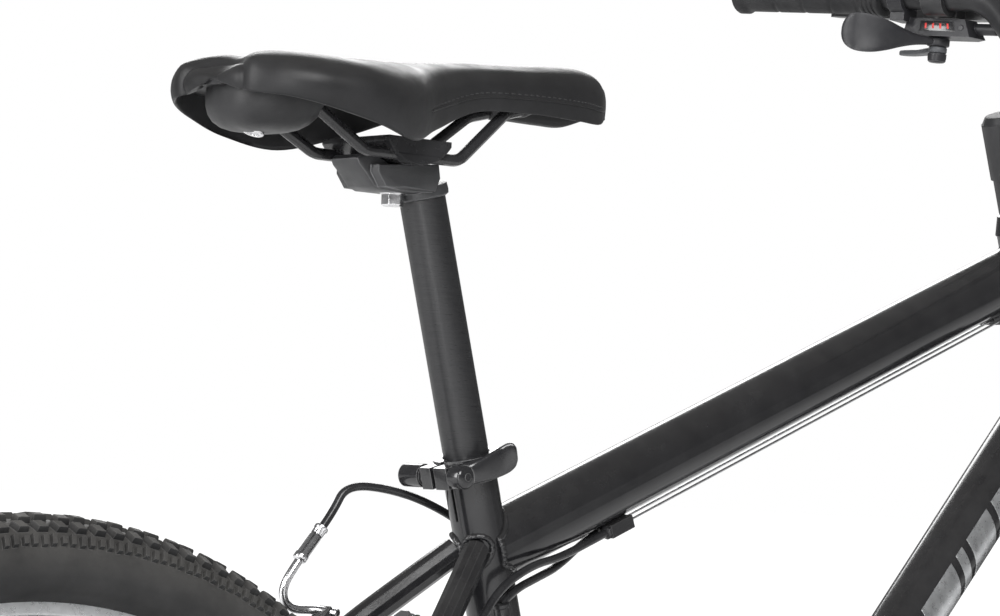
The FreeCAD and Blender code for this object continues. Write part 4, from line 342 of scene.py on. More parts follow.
# %% [markdown]
# ## Shared effects
# Real surfaces share a few habits: edges are rounded and catch light, paint has a faint unevenness,
# dust settles where nobody wipes. Each habit is a node group with named sockets, built once and placed
# in every finish that needs it with its own values.

# %% Build node groups


def new_group(name, inputs, outputs):
    """An empty node group with named sockets."""
    group = bpy.data.node_groups.new(name, "ShaderNodeTree")
    for label, kind, value in inputs:
        socket = group.interface.new_socket(name=label, in_out="INPUT", socket_type="NodeSocket" + kind)
        if value is not None:
            socket.default_value = value
    for label, kind in outputs:
        group.interface.new_socket(name=label, in_out="OUTPUT", socket_type="NodeSocket" + kind)
    return group, group.nodes.new("NodeGroupInput"), group.nodes.new("NodeGroupOutput")


def node(tree, kind, **settings):
    """A node with its settings; a setting named in_Socket sets that input."""
    made = tree.nodes.new("ShaderNode" + kind)
    for key, value in settings.items():
        if key.startswith("in_"):
            made.inputs[key[3:].replace("_", " ")].default_value = value
        else:
            setattr(made, key, value)
    return made


def object_place(tree):
    return node(tree, "TexCoord").outputs["Object"]


def math_node(tree, operation, first, second=None):
    made = node(tree, "Math", operation=operation)
    for slot_index, value in enumerate((first, second)):
        if value is None:
            continue
        if isinstance(value, (int, float)):
            made.inputs[slot_index].default_value = value
        else:
            tree.links.new(value, made.inputs[slot_index])
    return made.outputs[0]


def build_rounded_edges():
    """Edges that look rounded, and a mask of where they are."""
    group, given, result = new_group("rounded_edges", [("Radius", "Float", 0.0008),
                                                       ("Normal", "Vector", None)],
                                     [("Normal", "Vector"), ("Edge", "Float")])
    bevel = node(group, "Bevel", samples=4)
    flat = node(group, "NewGeometry")
    group.links.new(given.outputs["Radius"], bevel.inputs["Radius"])
    group.links.new(bevel.outputs["Normal"], result.inputs["Normal"])
    dot = node(group, "VectorMath", operation="DOT_PRODUCT")
    group.links.new(bevel.outputs["Normal"], dot.inputs[0])
    group.links.new(flat.outputs["Normal"], dot.inputs[1])
    edge = node(group, "MapRange", in_From_Min=0.995, in_From_Max=0.9)
    group.links.new(dot.outputs["Value"], edge.inputs["Value"])
    group.links.new(edge.outputs["Result"], result.inputs["Edge"])
    return group


def build_uneven():
    """A soft cloudy value for colour and roughness that change over a surface."""
    group, given, result = new_group("uneven_surface", [("Scale", "Float", 30.0),
                                                        ("Stretch", "Vector", (1, 1, 1)),
                                                        ("Low", "Float", 0.0), ("High", "Float", 1.0)],
                                     [("Value", "Float")])
    stretch = node(group, "VectorMath", operation="MULTIPLY")
    group.links.new(object_place(group), stretch.inputs[0])
    group.links.new(given.outputs["Stretch"], stretch.inputs[1])
    cloud = node(group, "TexNoise", in_Detail=5.0, in_Roughness=0.6)
    group.links.new(stretch.outputs["Vector"], cloud.inputs["Vector"])
    group.links.new(given.outputs["Scale"], cloud.inputs["Scale"])
    spread = node(group, "MapRange", in_From_Min=0.3, in_From_Max=0.7)
    group.links.new(cloud.outputs["Fac"], spread.inputs["Value"])
    group.links.new(given.outputs["Low"], spread.inputs["To Min"])
    group.links.new(given.outputs["High"], spread.inputs["To Max"])
    group.links.new(spread.outputs["Result"], result.inputs["Value"])
    return group


def build_pebble():
    """The small cells of moulded vinyl or cast metal, as a height."""
    group, given, result = new_group("pebble_grain", [("Scale", "Float", 900.0),
                                                      ("Softness", "Float", 0.6)],
                                     [("Height", "Float")])
    cells = node(group, "TexVoronoi", feature="SMOOTH_F1")
    group.links.new(object_place(group), cells.inputs["Vector"])
    group.links.new(given.outputs["Scale"], cells.inputs["Scale"])
    group.links.new(given.outputs["Softness"], cells.inputs["Smoothness"])
    group.links.new(cells.outputs["Distance"], result.inputs["Height"])
    return group


def build_dust():
    """Dust on surfaces that face up, broken by a fine noise."""
    group, given, result = new_group("settled_dust", [("Amount", "Float", 0.2), ("Scale", "Float", 60.0)],
                                     [("Mask", "Float")])
    facing = node(group, "SeparateXYZ")
    group.links.new(node(group, "NewGeometry").outputs["Normal"], facing.inputs[0])
    level_up = node(group, "MapRange", in_From_Min=-0.2, in_From_Max=1.0)
    group.links.new(facing.outputs["Z"], level_up.inputs["Value"])
    speck = node(group, "TexNoise", in_Detail=8.0, in_Roughness=0.7)
    group.links.new(object_place(group), speck.inputs["Vector"])
    group.links.new(given.outputs["Scale"], speck.inputs["Scale"])
    broken = math_node(group, "MULTIPLY", level_up.outputs["Result"], speck.outputs["Fac"])
    group.links.new(math_node(group, "MULTIPLY", broken, given.outputs["Amount"]), result.inputs["Mask"])
    return group


rounded_edges = build_rounded_edges()
uneven_surface = build_uneven()
pebble_grain = build_pebble()
settled_dust = build_dust()
print("groups:", [group.name for group in bpy.data.node_groups])

# %% [markdown]
# ## Finishes
# Each finish is a Principled shader with a base colour between two tones, a roughness that varies a
# little, rounded edges that are rubbed lighter, a grain and a trace of dust. The table below holds what
# differs from one finish to the next.

# %% Make one finish


def place_group(tree, group, **values):
    made = tree.nodes.new("ShaderNodeGroup")
    made.node_tree = group
    for key, value in values.items():
        made.inputs[key].default_value = value
    return made


def mix_colour(tree, share, first, second):
    made = node(tree, "Mix", data_type="RGBA")
    colour_inputs = [socket for socket in made.inputs if socket.type == "RGBA"]
    tree.links.new(share, made.inputs[0])
    for value, socket in zip((first, second), colour_inputs):
        if isinstance(value, tuple):
            socket.default_value = (*value, 1)
        else:
            tree.links.new(value, socket)
    return [socket for socket in made.outputs if socket.type == "RGBA"][0]


def finish(name, dark, light, rough=(0.3, 0.4), metal=0.0, coat=0.0, edge=0.0006, rubbed=None, rub=0.35,
           scale=40.0, stretch=(1, 1, 1), grain=None, depth=0.1, dust=0.0, specular=0.5, sheen=0.0):
    """A procedural finish. rough holds the lowest and highest roughness, grain the cells per metre."""
    made = bpy.data.materials.new(name)
    made.use_nodes = True
    tree = made.node_tree
    shader = tree.nodes["Principled BSDF"]
    shader.inputs["Metallic"].default_value = metal
    shader.inputs["Specular IOR Level"].default_value = specular
    shader.inputs["Coat Weight"].default_value = coat
    shader.inputs["Coat Roughness"].default_value = 0.06
    shader.inputs["Sheen Weight"].default_value = sheen
    cloud = place_group(tree, uneven_surface, Scale=scale, Stretch=stretch)
    colour = mix_colour(tree, cloud.outputs["Value"], dark, light)
    edges = place_group(tree, rounded_edges, Radius=edge)
    if rubbed:
        worn = math_node(tree, "MULTIPLY", edges.outputs["Edge"], rub)
        colour = mix_colour(tree, worn, colour, rubbed)
    if dust:
        settled = place_group(tree, settled_dust, Amount=dust)
        colour = mix_colour(tree, settled.outputs["Mask"], colour, (0.42, 0.4, 0.37))
    tree.links.new(colour, shader.inputs["Base Color"])
    smear = place_group(tree, uneven_surface, Scale=scale * 2.3, Stretch=stretch, Low=rough[0],
                        High=rough[1])
    tree.links.new(smear.outputs["Value"], shader.inputs["Roughness"])
    bump = node(tree, "Bump", in_Strength=depth, in_Distance=0.0004)
    if grain:
        cells = place_group(tree, pebble_grain, Scale=grain)
        tree.links.new(cells.outputs["Height"], bump.inputs["Height"])
    else:
        fine = place_group(tree, uneven_surface, Scale=scale * 9, Stretch=stretch)
        tree.links.new(fine.outputs["Value"], bump.inputs["Height"])
    tree.links.new(edges.outputs["Normal"], bump.inputs["Normal"])
    tree.links.new(bump.outputs["Normal"], shader.inputs["Normal"])
    return made


BRUSHED_ROUND = (1, 1, 12)
FINISHES = {
    "frame_black_gloss": dict(dark=(0.006, 0.006, 0.007), light=(0.012, 0.012, 0.013),
                              rough=(0.16, 0.24), coat=0.25, edge=0.0012, rubbed=(0.2, 0.2, 0.2),
                              rub=0.15, depth=0.03, dust=0.05, specular=0.3),
    "post_anodised": dict(dark=(0.012, 0.012, 0.013), light=(0.02, 0.02, 0.021), rough=(0.26, 0.36),
                          metal=0.2, stretch=BRUSHED_ROUND, scale=90, depth=0.02, edge=0.0004,
                          specular=0.35),
    "vinyl": dict(dark=(0.007, 0.007, 0.0075), light=(0.014, 0.014, 0.015), rough=(0.36, 0.5),
                  grain=1400, depth=0.12, edge=0.001, dust=0.04, scale=25, sheen=0.02, specular=0.2),
    "base_plastic": dict(dark=(0.012, 0.012, 0.013), light=(0.024, 0.024, 0.025), rough=(0.42, 0.56),
                         grain=1600, depth=0.15, rubbed=(0.12, 0.12, 0.12), specular=0.25),
    "rail_black": dict(dark=(0.012, 0.012, 0.013), light=(0.02, 0.02, 0.021), rough=(0.2, 0.34),
                       coat=0.15, depth=0.04, edge=0.001, specular=0.3),
    "cast_grey": dict(dark=(0.022, 0.023, 0.024), light=(0.038, 0.038, 0.04), rough=(0.38, 0.52),
                      metal=0.3, grain=1500, depth=0.2, rubbed=(0.3, 0.3, 0.31), edge=0.001),
    "bright_steel": dict(dark=(0.5, 0.5, 0.51), light=(0.68, 0.68, 0.69), rough=(0.16, 0.3), metal=1.0,
                         rubbed=(0.85, 0.85, 0.85), depth=0.05),
    "collar_black": dict(dark=(0.008, 0.008, 0.009), light=(0.016, 0.016, 0.017), rough=(0.12, 0.2),
                         coat=0.2, rubbed=(0.35, 0.35, 0.35), rub=0.3, edge=0.0008, depth=0.03,
                         specular=0.35),
    "tyre_rubber": dict(dark=(0.012, 0.012, 0.0125), light=(0.028, 0.028, 0.028), rough=(0.55, 0.75),
                        grain=2200, depth=0.15, edge=0.0005, dust=0.2, scale=18,
                        rubbed=(0.09, 0.09, 0.09), rub=0.4, specular=0.15),
    "rim_silver": dict(dark=(0.5, 0.51, 0.52), light=(0.66, 0.67, 0.68), rough=(0.24, 0.36), metal=0.95,
                       edge=0.0004, rubbed=(0.9, 0.9, 0.9), depth=0.06, scale=120),
    "hub_silver": dict(dark=(0.42, 0.43, 0.44), light=(0.6, 0.61, 0.62), rough=(0.22, 0.34), metal=1.0,
                       depth=0.05),
    "spoke_steel": dict(dark=(0.55, 0.55, 0.56), light=(0.72, 0.72, 0.73), rough=(0.2, 0.3), metal=1.0,
                        edge=0.0003, depth=0.02),
    "fork_black": dict(dark=(0.009, 0.009, 0.01), light=(0.017, 0.017, 0.018), rough=(0.2, 0.3),
                       coat=0.2, edge=0.0012, rubbed=(0.2, 0.2, 0.2), rub=0.2, depth=0.03, dust=0.1,
                       specular=0.3),
    "bar_black": dict(dark=(0.012, 0.012, 0.013), light=(0.02, 0.02, 0.021), rough=(0.32, 0.42),
                      depth=0.05, edge=0.001, specular=0.25),
    "grip_rubber": dict(dark=(0.012, 0.012, 0.013), light=(0.024, 0.024, 0.025), rough=(0.5, 0.66),
                        grain=1900, depth=0.2, edge=0.0006, dust=0.1, rubbed=(0.06, 0.06, 0.06),
                        specular=0.15),
    "control_black": dict(dark=(0.014, 0.014, 0.016), light=(0.026, 0.026, 0.028), rough=(0.34, 0.46),
                          grain=2100, depth=0.1, edge=0.0006, rubbed=(0.16, 0.16, 0.17), rub=0.5,
                          specular=0.25),
    "control_grey": dict(dark=(0.05, 0.052, 0.056), light=(0.085, 0.088, 0.093), rough=(0.42, 0.56),
                         grain=2000, depth=0.12, edge=0.0007, rubbed=(0.2, 0.2, 0.21), rub=0.5,
                         specular=0.25),
    "brake_black": dict(dark=(0.012, 0.012, 0.013), light=(0.022, 0.022, 0.023), rough=(0.26, 0.4),
                        coat=0.1, edge=0.0008, rubbed=(0.25, 0.25, 0.25), rub=0.3, depth=0.05, dust=0.1,
                        specular=0.3),
    "crank_black": dict(dark=(0.012, 0.012, 0.013), light=(0.022, 0.022, 0.023), rough=(0.24, 0.36),
                        coat=0.15, edge=0.001, rubbed=(0.3, 0.3, 0.3), rub=0.4, depth=0.05, dust=0.12,
                        specular=0.3),
    "sprocket_steel": dict(dark=(0.2, 0.2, 0.2), light=(0.36, 0.36, 0.35), rough=(0.3, 0.46),
                           metal=0.95, edge=0.0004, rubbed=(0.6, 0.6, 0.6), depth=0.08, scale=70),
    "derailleur_black": dict(dark=(0.014, 0.014, 0.015), light=(0.03, 0.03, 0.031), rough=(0.28, 0.42),
                             metal=0.2, edge=0.0006, rubbed=(0.3, 0.3, 0.3), rub=0.4, depth=0.06,
                             specular=0.3),
    "pulley_plastic": dict(dark=(0.02, 0.02, 0.02), light=(0.04, 0.04, 0.04), rough=(0.5, 0.64),
                           depth=0.1, specular=0.25),
    "chain_steel": dict(dark=(0.22, 0.21, 0.2), light=(0.4, 0.39, 0.37), rough=(0.28, 0.44), metal=1.0,
                        edge=0.0003, depth=0.06, scale=150),
    "housing_black": dict(dark=(0.01, 0.01, 0.011), light=(0.018, 0.018, 0.019), rough=(0.24, 0.34),
                          coat=0.1, depth=0.05, edge=0.0003, scale=60, specular=0.3),
    "pedal_black": dict(dark=(0.014, 0.014, 0.015), light=(0.026, 0.026, 0.027), rough=(0.4, 0.56),
                        grain=1700, depth=0.15, edge=0.0008, rubbed=(0.14, 0.14, 0.14), rub=0.5,
                        dust=0.12, specular=0.25),
}
finishes = {name: finish(name, **values) for name, values in FINISHES.items()}
print("finishes:", len(finishes))

# %% Dress the solids
plain = []
for name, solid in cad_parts.items():
    for holder in solid.material_slots:
        wanted = holder.material.name.split(".")[0] if holder.material else ""
        for known in finishes:
            if wanted.endswith(known) and holder.material is not finishes[known]:
                holder.material = finishes[known]
                break
        else:
            plain.append((name, wanted))
print("solids with no finish of their own:", plain)

# %% [markdown]
# ## Lay the cables
# The housings behind the seat tube don't move, so they stay curves. Those at the handlebar are turned into
# meshes and baked in place, on no body.

# %% Lay the housings
for name, points in rear_routes.items():
    add_object(name, tube_curve(name, points, HOUSING), "frame",
               finishes["housing_black"])
for side, name in ((-8, "gear_wire"), (0, "front_gear_wire"), (8, "brake_wire")):
    straight = tube_curve(name, [lane(BACK_MOUTH - 6, side), lane(260, side),
                                 lane(FRONT_MOUTH + 6, side)], BARE)
    add_object(name, straight, "frame", finishes["bright_steel"])
wire_top = FRONT_GEAR_STOP - SEAT_UP * 8
wire_low = Vector((-154.7 - 5, -36, 447))
add_object("cage_wire", tube_curve("cage_wire", [wire_top, (wire_top + wire_low) / 2, wire_low], BARE),
           "frame",
           finishes["bright_steel"])
for name, points in bar_routes.items():
    mesh = tube_mesh(name, points, HOUSING)
    piece = add_object(name, mesh, None, None)
    mesh.materials.clear()
    mesh.materials.append(finishes["housing_black"])
    if name == "front_brake_housing":
        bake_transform(piece)
    else:
        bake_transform(piece)
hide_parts("rear_cables")
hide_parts("front_cables")
print("housings laid:", len(rear_routes) + len(bar_routes))

# %% [markdown]
# ## The saddle
# A saddle is a foam pad under a tight vinyl cover, drawn over a plastic base. Its form is set by a row
# of cross-sections from the tail to the nose. Smooth curves through the same few stations give a crown
# that is full over the sit bones, thin skirts at the sides, and a notch between the two rear wings.
# A cover that is glued tight to its foam doesn't hang or fold, so it is modelled and not simulated.

# %% Smooth curves through given points


def smooth_value(values, place):
    """A smooth curve through values at whole numbers, read at any place between them."""
    last = len(values) - 1
    index = min(int(place), last - 1)
    share = place - index
    a = values[max(index - 1, 0)]
    b, c = values[index], values[index + 1]
    d = values[min(index + 2, last)]
    return b + 0.5 * share * (c - a + share * (2 * a - 5 * b + 4 * c - d + share * (3 * (b - c) + d - a)))


def smooth_row(rows, place):
    """The same for rows of several values."""
    return [smooth_value([row[k] for row in rows], place) for k in range(len(rows[0]))]


def ease(value, low, high):
    """0 below low, 1 above high, smooth between."""
    share = min(max((value - low) / (high - low), 0), 1)
    return share * share * (3 - 2 * share)


print("halfway between 0 and 1:", smooth_value([0, 0, 1, 1], 1.5))

# %% Build the saddle's cover
# Place along the bike, half width, top, widest line, skirt edge and roof of the underside, millimetres.
STATIONS = [(-431, 26, 911, 899, 893, 899), (-426, 40, 915, 899, 891, 900),
            (-414, 55, 917, 898, 889, 900), (-396, 66, 918, 897, 885, 900),
            (-366, 74, 918, 895, 878, 899.5), (-332, 65, 920, 894, 873, 901),
            (-298, 43, 923, 901, 883, 904), (-255, 29.5, 928, 911, 898, 908),
            (-205, 24.5, 932, 915, 902, 913.5), (-165, 22.5, 935.5, 916, 902, 914),
            (-145, 19, 934.5, 915, 902, 914), (-134, 12, 930, 915, 906, 915)]
NOTCH_DEPTH = 15
SECTION_STEPS = 9


def saddle_section(place):
    """One closed row of points of the cover, from its crown down the right side and back up the left."""
    x, half, top, wide, low, roof = smooth_row(STATIONS, place)
    inner = half - 6
    side = [(0, top), (0.3 * half, top - 0.5), (0.58 * half, top - 2.6),
            (0.82 * half, top - 0.33 * (top - wide)), (0.965 * half, top - 0.68 * (top - wide)),
            (half, wide), (0.985 * half, (wide + low) / 2), (0.95 * half, low + 1),
            (0.92 * half, low - 0.2), (inner, low + 1.6), (inner - 2, roof - 3), (inner - 6, roof),
            (0.4 * inner, roof), (0, roof)]
    count = len(side) - 1
    right = [smooth_row(side, count * k / (count * 3)) for k in range(count * 3 + 1)]
    loop = [(-y, z) for y, z in right] + [(y, z) for y, z in reversed(right[1:-1])]
    row = []
    for y, z in loop:
        notch = NOTCH_DEPTH * (1 - ease(abs(y), 4, 34)) * (1 - ease(x, -432, -396))
        channel = 2.2 * math.exp(-(y / 11) ** 2) * (1 - ease(x, -420, -300)) if z > wide else 0
        row.append(Vector((x + notch, y, z - channel)) * MM)
    return row


cover = Parts()
steps = (len(STATIONS) - 1) * SECTION_STEPS
sections = [saddle_section((len(STATIONS) - 1) * k / steps) for k in range(steps + 1)]
ends = []
for section, sign in ((sections[0], -1), (sections[-1], 1)):
    middle = sum(section, Vector()) / len(section)
    closing = []
    for share, bulge in ((0.93, 1.6), (0.78, 3.2), (0.5, 4.6), (0.2, 5.2)):
        closing.append([middle + (point - middle) * share + Vector((sign * bulge * MM, 0, 0))
                        for point in section])
    ends.append(closing)
cover.grid(list(reversed(ends[0])) + sections + ends[1])
saddle = add_object("saddle_pad", cover.mesh("saddle_pad"), "saddle", finishes["vinyl"])
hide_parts("saddle_cover")
print("saddle cover faces:", len(saddle.data.polygons))

# %% [markdown]
# A stitched seam runs low round the nose, where the side panels meet the top. It is a thin raised welt
# that follows the cover's own points, with a row of short stitches above it.

# %% Sew the seam
SEAM_SPOT = 17
SEAM_FROM = 50
welt = Parts()
stitches = Parts()
for flip in (1, -1):
    line = [section[SEAM_SPOT * flip] for section in sections[SEAM_FROM:]]
    outward = [(section[SEAM_SPOT * flip] - section[(SEAM_SPOT + 12) * flip]).normalized()
               for section in sections[SEAM_FROM:]]
    rows = []
    for index, (point, out) in enumerate(zip(line, outward)):
        ahead_way = (line[min(index + 1, len(line) - 1)] - line[max(index - 1, 0)]).normalized()
        u = ahead_way.cross(out).normalized()
        ring = [TURN * k / 8 for k in range(8)]
        rows.append([point + (u * math.cos(a) + out * math.sin(a) * 0.6) * 0.9 * MM for a in ring])
    welt.grid(rows)
    for index in range(1, len(line) - 1):
        start, stop = line[index], line[index].lerp(line[index + 1], 0.6)
        lift = Vector((0, 0, 2.2)) * MM
        rows = []
        for spot, size in ((start, 0.25), (start.lerp(stop, 0.3), 0.4), (start.lerp(stop, 0.7), 0.4),
                           (stop, 0.25)):
            u, v = across(stop - start)
            rows.append([spot + lift + (u * math.cos(a) + v * math.sin(a)) * size * MM
                         for a in (TURN * k / 6 for k in range(6))])
        stitches.grid(rows)
add_object("saddle_welt", welt.mesh("saddle_welt"), "saddle", finishes["vinyl"])
add_object("saddle_stitches", stitches.mesh("saddle_stitches"), "saddle",
           finishes["base_plastic"])
print("stitches:", len(stitches.faces) // 20)

# %% [markdown]
# ## The tyres
# A mountain bike tyre is a smooth casing with a tread of rubber blocks: tall ones along the crown,
# smaller slanted ones on the shoulders. The casing is turned about the axle, and the blocks are set on
# it row by row, each one tapered from its root to its top.

# %% Build one tyre
AXLES = {"front": Vector((542.5, 0, 331)), "rear": Vector((-542.5, 0, 331))}
CASING_CENTRE = 303.6
CASING_HIGH = 23.9
CASING_WIDE = 25.8
TREAD_ROWS = 166


def casing(angle, lift=0.0):
    """A point of the casing's outline, as distance from the axle and place sideways."""
    normal = Vector((math.cos(angle) / CASING_HIGH, math.sin(angle) / CASING_WIDE)).normalized()
    radius = CASING_CENTRE + CASING_HIGH * math.cos(angle) + normal[0] * lift
    return radius, CASING_WIDE * math.sin(angle) + normal[1] * lift


def wheel_point(centre, radius, side, angle):
    return (centre + Vector((radius * math.cos(angle), side, radius * math.sin(angle)))) * MM


def turned_ring(shell, centre, outline, steps=144):
    """An outline turned all the way about the axle."""
    rows = []
    for k in range(steps):
        rows.append([wheel_point(centre, radius, side, TURN * k / steps) for radius, side in outline])
    shell.grid(rows, wrap_rows=True)


def tread_block(shell, centre, turn_angle, across_angle, length, width, height, slant=0.0):
    """One block: its middle's place round and across the tyre, its size, and its slant."""
    corners = []
    for lift, spread in ((-0.8, 1.0), (height - 0.6, 0.86), (height, 0.76)):
        ring = []
        for s, t in ((-1, -1), (1, -1), (1, 1), (-1, 1)):
            along = s * length / 2 * spread + slant * t * width / 2
            over = across_angle + t * width / 2 * spread / CASING_WIDE
            radius, side = casing(over, lift)
            ring.append(wheel_point(centre, radius, side, turn_angle + along / 327))
        corners.append(ring)
    shell.grid(corners)


def build_tyre(end):
    centre = AXLES[end]
    skin = Parts()
    top = [casing(math.radians(angle)) for angle in range(-112, 113, 8)]
    wall = [(280, 9), (283.2, 10.2), (286.4, 13.6), (290, 20)]
    outer = wall + list(reversed(top)) + [(radius, -side) for radius, side in reversed(wall)]
    inner = [(280, -6.2), (289, -15), (304, -22.2), (319, -14), (324, 0), (319, 14), (304, 22.2),
             (289, 15), (280, 6.2)]
    turned_ring(skin, centre, outer + inner)
    for row in range(TREAD_ROWS):
        here = TURN * row / TREAD_ROWS
        pitch = TURN / TREAD_ROWS
        inside = 0.17 if row % 2 else 0.3
        for sign in (-1, 1):
            tread_block(skin, centre, here, sign * inside, 8.6, 6.8, 3.7, sign * 0.12)
            tread_block(skin, centre, here + pitch * 0.5, sign * 0.62, 7.2, 6.2, 3.6, -sign * 0.3)
            tread_block(skin, centre, here + pitch * 0.1, sign * 0.98, 3.6, 7.6, 3.0, sign * 0.25)
            tread_block(skin, centre, here + pitch * 0.58, sign * 1.0, 3.6, 7.2 if row % 2 else 5.4, 2.8,
                        sign * 0.25)
    tyre = add_object(end + "_tread", sharpen(skin.mesh(end + "_tread"), 40), end + "_wheel",
                      finishes["tyre_rubber"])
    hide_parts(end + "_tyre")
    return tyre


for end in AXLES:
    print(end, "tyre faces:", len(build_tyre(end).data.polygons))

# %% [markdown]
# ## The rims
# An alloy rim is extruded, rolled to a hoop and machined flat where the brake pads rub. The turned
# outline has two lips that hold the tyre, a fine groove along each brake track that shows its wear, and a
# V-shaped box below. Small nipples join the spokes to it.

# %% Build the rims and the nipples
SPOKES = 32


def build_rim(end):
    hoop = Parts()
    half = [(286.0, 11.0), (286.2, 11.8), (285.6, 12.4), (284.8, 12.5), (279.2, 12.5), (278.9, 12.2),
            (278.3, 12.2), (278.0, 12.5), (272.6, 12.5), (271.6, 12.1), (270.8, 11.2), (268.6, 7.6),
            (266.6, 5.2), (265.6, 3.0)]
    inner = [(282.0, 10.4), (280.6, 9.2), (277.6, 8.8), (276.8, 4.5), (275.6, 0)]
    outline = [(r, y) for r, y in half] + [(r, -y) for r, y in reversed(half)]
    outline += [(r, -y) for r, y in inner] + [(r, y) for r, y in reversed(inner[:-1])]
    turned_ring(hoop, AXLES[end], outline, 180)
    rim = add_object(end + "_hoop", sharpen(hoop.mesh(end + "_hoop"), 28), end + "_wheel",
                     finishes["rim_silver"])
    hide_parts(end + "_rim")
    nipples = Parts()
    for index in range(SPOKES):
        angle = TURN * index / SPOKES
        way = Vector((math.cos(angle), 0, math.sin(angle)))
        foot = AXLES[end] + Vector((0, (1 if index % 2 else -1) * 1.5, 0))
        rows = lathe_rows(foot, way, [(254, 1.4), (254.6, 1.9), (262, 1.9), (262.6, 2.7), (266.4, 2.9),
                                      (267, 1.5)], 10)
        nipples.grid([[point * MM for point in row] for row in rows])
    add_object(end + "_nipples", sharpen(nipples.mesh(end + "_nipples")), end + "_wheel",
               finishes["bright_steel"])
    valve = Parts()
    angle = TURN * 4.5 / SPOKES
    way = Vector((math.cos(angle), 0, math.sin(angle)))
    rows = lathe_rows(AXLES[end], way, [(231, 2.2), (231.4, 3.9), (240, 3.9), (240.5, 2.9), (252, 3.1),
                                        (262, 4.2), (267, 5.6)], 16)
    valve.grid([[point * MM for point in row] for row in rows])
    add_object(end + "_valve", sharpen(valve.mesh(end + "_valve")), end + "_wheel",
               finishes["grip_rubber"])


for end in AXLES:
    build_rim(end)
print("nipples:", 2 * SPOKES)

# %% [markdown]
# ## The grips
# A moulded rubber grip is a sleeve with shallow rings, three tight ribs by the controls, a flange at its
# inner end and a closed cap outside. It is turned about the handlebar, with the rings a little slanted.

# %% Build the grips
GRIP_START = 186.4


def grip_profile():
    """Distance along the bar and radius, from the inner flange to the cap."""
    profile = [(0, 11.3), (0, 16.2), (0.8, 17.0), (3.2, 17.0), (4.0, 16.2), (4.3, 15.0)]
    for rib in range(3):
        at = 6 + rib * 4
        profile += [(at, 15.0), (at + 0.5, 15.7), (at + 2.2, 15.7), (at + 2.7, 15.0)]
    place = 20.0
    while place < 118:
        ring = min((place - 20) % 25, 25 - (place - 20) % 25)
        profile.append((place, 15.5 - 0.85 * math.exp(-(ring / 1.1) ** 2)))
        place += 0.9
    profile += [(119, 15.5), (121.5, 16.2), (123, 17.4), (129.5, 17.4), (130.8, 16.6), (131, 9),
                (131, 0.1)]
    return profile


def build_grips():
    sleeves = Parts()
    for sign in (1, -1):
        rows = []
        for along, radius in grip_profile():
            slant = 2.4 * ease(along, 18, 30) * (1 - ease(along, 108, 120))
            ring = []
            for k in range(40):
                a = TURN * k / 40
                lean = slant * math.cos(a)
                ring.append(bar(GRIP_START + along + lean, radius * math.cos(a), radius * math.sin(a),
                                sign) * MM)
            rows.append(ring if sign > 0 else list(reversed(ring)))
        sleeves.grid(rows)
    grips = add_object("grip_sleeves", sharpen(sleeves.mesh("grip_sleeves"), 50), "steering",
                       finishes["grip_rubber"])
    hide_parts("grips")
    return grips


print("grip faces:", len(build_grips().data.polygons))

# %% [markdown]
# ## The shift levers
# The thumb paddle is moulded plastic: a neck runs out from the pin and rises into a broad, slightly
# dished blade that stands on edge under the thumb. The release lever is a small flat finger, drawn as a
# few outline points that are rounded to a smooth curve, with its rims eased in two steps.

# %% Build the paddles
SHIFT_AT = 146.0
SHIFT_AHEAD = 16.0
POD_LOW = -30.0


def closed_curve(points, steps=6):
    """A smooth closed outline through given points."""
    count = len(points)
    ring = points[-2:] + points + points[:3]
    return [tuple(smooth_row(ring, 2 + k / steps)) for k in range(count * steps)]


def soft_plate(shell, outline, low, high, sign, ease_by=1.2):
    """A plate in the bar's plane with softened rims, from an outline of (along, ahead)."""
    middle = [sum(p[k] for p in outline) / len(outline) for k in (0, 1)]
    rows = []
    levels = ((low, ease_by), (low + 0.25 * ease_by, 0.35 * ease_by), (low + ease_by, 0),
              (high - ease_by, 0),
              (high - 0.25 * ease_by, 0.35 * ease_by), (high, ease_by))
    for level_up, shrink in levels:
        ring = []
        for along, forward in outline:
            away = Vector((along - middle[0], forward - middle[1]))
            share = max(1 - shrink / max(away.length, 1), 0)
            spot = Vector(middle) + away * share
            ring.append(bar(spot[0], spot[1], level_up, sign) * MM)
        rows.append(ring if sign > 0 else list(reversed(ring)))
    shell.grid(rows)


def hub_rows(along, forward, profile, sign, sides=28):
    """Rows of a hub turned about the lever's pin: profile holds (height, radius)."""
    rows = []
    for height, radius in profile:
        ring = [bar(along + radius * math.cos(a), forward + radius * math.sin(a), height, sign) * MM
                for a in (TURN * k / sides for k in range(sides))]
        rows.append(ring if sign > 0 else list(reversed(ring)))
    return rows


# The blade's middle line by the bar (along, ahead, up), then half its height and half its thickness.
BLADE = [(146, 16, -33.4, 2.6, 5), (150, 8, -33.6, 3, 4.4), (156, -4, -34, 4.4, 3.2),
         (162, -15, -34, 7.6, 2.7), (169, -25, -34, 11.6, 2.5), (177, -33, -34, 14.2, 2.3),
         (186, -38.5, -33.5, 14.6, 2.1), (193, -40.5, -33, 12, 1.9), (197, -41, -33, 7.6, 1.6),
         (198.6, -41, -33, 3.4, 1.1)]
RELEASE = [(-4, 3), (4, -4), (24, 12), (43, 21), (47, 27), (42, 31), (32, 29), (12, 18)]


